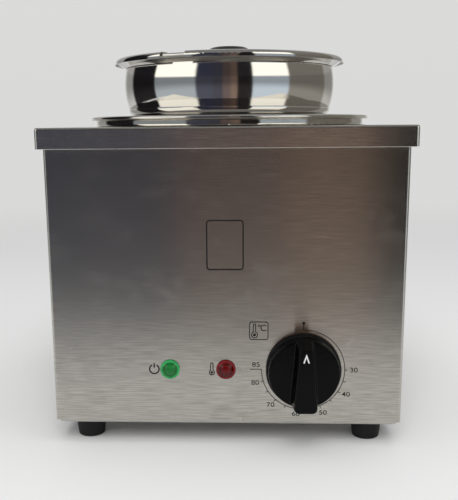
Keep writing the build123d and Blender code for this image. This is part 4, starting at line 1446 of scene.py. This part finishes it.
@dataclass
class MainsInlet(SubAssembly):
    """The cable gland, the terminals and the leads inside."""

    worn: Worn = (
        (DARK_PLASTIC, "gland_body", "gland_locknut", "gland_dome_nut"),
        (RUBBER, "gland_seal"),
        (CREAM_PLASTIC, "terminal_block"),
        (ZINC, "terminal_screws", "earth_stud", "earth_nuts"),
        (BRASS, "earth_lug"),
        (Sleeving("brown_lead", (0.16, 0.07, 0.03)), "live_leads"),
        (Sleeving("blue_lead", (0.03, 0.10, 0.42)), "neutral_lead"),
        (Sleeving("white_lead", (0.74, 0.73, 0.70)), "lamp_leads"),
        (Sleeving("earth_lead", (0.08, 0.36, 0.06), 1.0), "earth_lead"),
    )


@dataclass(frozen=True)
class RoomZone:
    """An upright stretch of the room, from its left edge on, as polished steel shows it."""

    start: float
    low_tone: Colour
    high_tone: Colour
    soft: float


@dataclass(frozen=True)
class SoftBox:
    """A square studio light, its sizes in metres and its power in watts."""

    name: str
    place: Triple
    target: Triple
    size: float
    power: float


@dataclass
class Studio:
    """The plain pale floor, the soft light, the dim room in front, and the camera.

    Steps are pairs of angles in degrees, or of distances in metres, between which one tone
    gives way to the next.
    """

    backdrop: Colour = (0.695, 0.695, 0.69)
    high_backdrop: Colour = (0.71, 0.71, 0.70)
    backdrop_step: Point = (0.0, 14.0)
    back_wall: Colour = (0.79, 0.80, 0.79)
    daylight: Colour = (0.52, 0.52, 0.525)
    front_ceiling: Colour = (0.24, 0.235, 0.23)
    back_ceiling: Colour = (0.32, 0.32, 0.32)
    ceiling_step: Point = (34.0, 44.0)
    behind_step: Point = (100.0, 135.0)
    zenith: Colour = (0.22, 0.22, 0.22)
    zenith_step: Point = (60.0, 75.0)
    zones_end: Point = (144.0, 160.0)
    zone_rise: Point = (7.0, 9.5)
    dim_step: Point = (-9.0, 2.0)
    dim_range: Point = (1.6, 0.8)
    zones: tuple[RoomZone, ...] = (
        RoomZone(-150, (0.40, 0.40, 0.39), (0.42, 0.42, 0.41), 9.0),
        RoomZone(-125, (0.014, 0.013, 0.014), (0.014, 0.013, 0.015), 3.0),
        RoomZone(-84, (0.30, 0.33, 0.355), (1.45, 1.42, 1.30), 1.5),
        RoomZone(-34, (0.06, 0.064, 0.085), (0.033, 0.037, 0.06), 2.0),
        RoomZone(-15, (0.056, 0.055, 0.07), (0.037, 0.038, 0.053), 2.5),
        RoomZone(-5.5, (0.112, 0.084, 0.079), (0.066, 0.048, 0.045), 1.3),
        RoomZone(3, (0.17, 0.12, 0.095), (0.10, 0.07, 0.056), 2.5),
        RoomZone(10, (0.018, 0.016, 0.016), (0.02, 0.019, 0.02), 1.5),
        RoomZone(26, (0.42, 0.48, 0.54), (1.45, 1.42, 1.30), 1.5),
        RoomZone(67, (0.20, 0.188, 0.165), (0.20, 0.187, 0.163), 2.0),
        RoomZone(124, (0.36, 0.35, 0.33), (0.38, 0.37, 0.35), 3.0),
    )
    floor_tone: Colour = (0.87, 0.87, 0.865)
    floor_shade: float = 0.985
    floor_scale: float = 3.0
    floor_reach: float = 9.0
    floor_cells: int = 8
    fade_step: Point = (0.35, 1.6)
    table_left: float = -1.0
    table_right: float = 0.62
    table_front: float = -0.365
    table_soft: float = 0.02
    lights: tuple[SoftBox, ...] = (
        SoftBox("overhead_box", (0.15, -0.35, 1.5), (0.0, 0.0, 0.1), 1.4, 7.0),
        SoftBox("front_box", (0.0, -1.5, 1.4), (0.0, -0.15, 0.1), 1.0, 14.5),
    )
    camera_place: Triple = (0.01366, -0.59107, 0.21343)
    camera_turn: float = 0.0457
    camera_tip: float = 0.1951
    camera_lean: float = -0.0092
    sensor: float = 36.0
    lens: float = 58.82
    shift: Point = (0.0341, 0.0478)
    clip_start: float = 0.01

    def build(self) -> None:
        """Builds the whole studio."""
        self.set_world()
        self.lay_floor()
        self.hang_lights()
        self.set_camera()

    def set_world(self) -> None:
        """Draws the light from all round: daylight, the view's backdrop, the room for gloss."""
        world = bpy.data.worlds.new("studio")
        bpy.context.scene.world = world
        world.use_nodes = True
        world.cycles.sampling_method = "NONE"
        sheet = NodeSheet(world.node_tree)
        x, y, z = sheet.split(sheet.add("TexCoord").outputs["Generated"])
        turn = sheet.math("ARCTAN2", x, sheet.times(y, -1.0))
        turn = sheet.times(turn, DEGREE)
        rise = sheet.times(sheet.math("ARCSINE", z), DEGREE)
        path = sheet.add("LightPath").outputs
        sky = sheet.blend(path["Is Glossy Ray"], self.daylight, self.room(sheet, turn, rise))
        seen = sheet.math("MAXIMUM", path["Is Camera Ray"], path["Is Transmission Ray"])
        high = sheet.step(rise, *self.backdrop_step)
        sky = sheet.blend(seen, sky, sheet.blend(high, self.backdrop, self.high_backdrop))
        glow = sheet.add("Background", {"Color": sky}).outputs[0]
        sheet.add("OutputWorld", {0: glow})

    def room(self, sheet: NodeSheet, turn: Socket, rise: Socket) -> Socket:
        """Draws the room that glossy surfaces show.

        Args:
            sheet: The world's sheet.
            turn: The angle from straight in front, in degrees to the right.
            rise: The angle above the horizon, in degrees.

        Returns:
            The room's colour.
        """
        high = sheet.step(rise, *self.zone_rise)
        dim = sheet.spread(sheet.step(rise, *self.dim_step), *self.dim_range)
        gloss = self.back_wall
        for zone in self.zones:
            tone = sheet.blend(high, sheet.dimmed(zone.low_tone, dim), zone.high_tone)
            reached = sheet.step(turn, zone.start - zone.soft, zone.start + zone.soft)
            gloss = sheet.blend(reached, gloss, tone)
        gloss = sheet.blend(sheet.step(turn, *self.zones_end), gloss, self.back_wall)
        behind = sheet.step(sheet.math("ABSOLUTE", turn), *self.behind_step)
        ceiling = sheet.blend(behind, self.front_ceiling, self.back_ceiling)
        gloss = sheet.blend(sheet.step(rise, *self.ceiling_step), gloss, ceiling)
        return sheet.blend(sheet.step(rise, *self.zenith_step), gloss, self.zenith)

    def lay_floor(self) -> None:
        """Lays the floor."""
        cells = self.floor_cells
        mesh = bmesh.new()
        bmesh.ops.create_grid(mesh, x_segments=cells, y_segments=cells, size=self.floor_reach)
        data = bpy.data.meshes.new("floor")
        mesh.to_mesh(data)
        mesh.free()
        data.materials.append(self.floor_material())
        floor = bpy.data.objects.new("floor", data)
        bpy.context.scene.collection.objects.link(floor)

    def beyond_edge(self, sheet: NodeSheet, place: Socket, edge: float) -> Socket:
        """Gives a mask of what lies beyond one of the table's edges."""
        return sheet.step(place, edge - self.table_soft, edge + self.table_soft)

    def floor_material(self) -> bpy.types.Material:
        """Draws a floor that fades into the backdrop far away, and ends as a table for gloss.

        Returns:
            The material.
        """
        made = bpy.data.materials.new("pale_floor")
        made.use_nodes = True
        sheet = NodeSheet(made.node_tree)
        where = sheet.where()
        x, y, _z = sheet.split(where)
        path = sheet.add("LightPath").outputs
        table = sheet.times(
            self.beyond_edge(sheet, x, self.table_left),
            self.beyond_edge(sheet, y, self.table_front),
            sheet.inverse(self.beyond_edge(sheet, x, self.table_right)),
        )
        beyond = sheet.times(path["Is Glossy Ray"], sheet.inverse(table))
        dark_tone = shaded(self.floor_tone, self.floor_shade)
        clouds = sheet.noise(where, self.floor_scale)
        mottle = sheet.blend(clouds, self.floor_tone, dark_tone)
        seen = sheet.math("MAXIMUM", path["Is Camera Ray"], path["Is Transmission Ray"])
        far = sheet.times(sheet.step(sheet.length(where), *self.fade_step), seen)
        matt = sheet.add("BsdfDiffuse", {"Color": mottle}).outputs[0]
        glow = sheet.add("Emission", {"Color": (*self.backdrop, 1.0)}).outputs[0]
        shown = sheet.add("MixShader", {0: far, 1: matt, 2: glow}).outputs[0]
        open_air = sheet.add("BsdfTransparent").outputs[0]
        shown = sheet.add("MixShader", {0: beyond, 1: shown, 2: open_air}).outputs[0]
        sheet.add("OutputMaterial", {0: shown})
        made.cycles.emission_sampling = "NONE"
        return made

    def hang_lights(self) -> None:
        """Hangs the soft boxes, which show in no reflection."""
        for light in self.lights:
            data = bpy.data.lights.new(light.name, "AREA")
            data.size = light.size
            data.energy = light.power
            box = bpy.data.objects.new(light.name, data)
            box.location = light.place
            aim = Vector(light.target) - Vector(light.place)
            box.rotation_euler = aim.to_track_quat("-Z", "Y").to_euler()
            box.visible_glossy = False
            bpy.context.scene.collection.objects.link(box)

    def set_camera(self) -> None:
        """Sets the camera where the photograph was taken from."""
        turn, tip, lean = self.camera_turn, self.camera_tip, self.camera_lean
        flat = math.cos(tip)
        ahead = Vector((-math.sin(turn) * flat, math.cos(turn) * flat, -math.sin(tip)))
        level = Vector((math.cos(turn), math.sin(turn), 0.0))
        upright = level.cross(ahead)
        right = level * math.cos(lean) + upright * math.sin(lean)
        up = upright * math.cos(lean) - level * math.sin(lean)
        data = bpy.data.cameras.new("camera")
        data.sensor_fit = "HORIZONTAL"
        data.sensor_width = self.sensor
        data.lens = self.lens
        data.shift_x, data.shift_y = self.shift
        data.clip_start = self.clip_start
        camera = bpy.data.objects.new("camera", data)
        pose = Matrix((right, up, -ahead)).transposed().to_4x4()
        pose.translation = self.camera_place
        camera.matrix_world = pose
        bpy.context.scene.collection.objects.link(camera)
        bpy.context.scene.camera = camera


def main() -> None:
    """Builds the studio and every sub-assembly."""
    logging.basicConfig(level=logging.INFO, format="%(message)s")
    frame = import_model()
    bpy.context.scene.view_settings.view_transform = "Standard"
    Studio().build()
    shop = Workshop(frame)
    for sub_assembly in (Housing, WaterBath, ServingPot, ControlPanel, PilotLamps, MainsInlet):
        sub_assembly(shop).build()


if __name__ == "__main__":
    main()
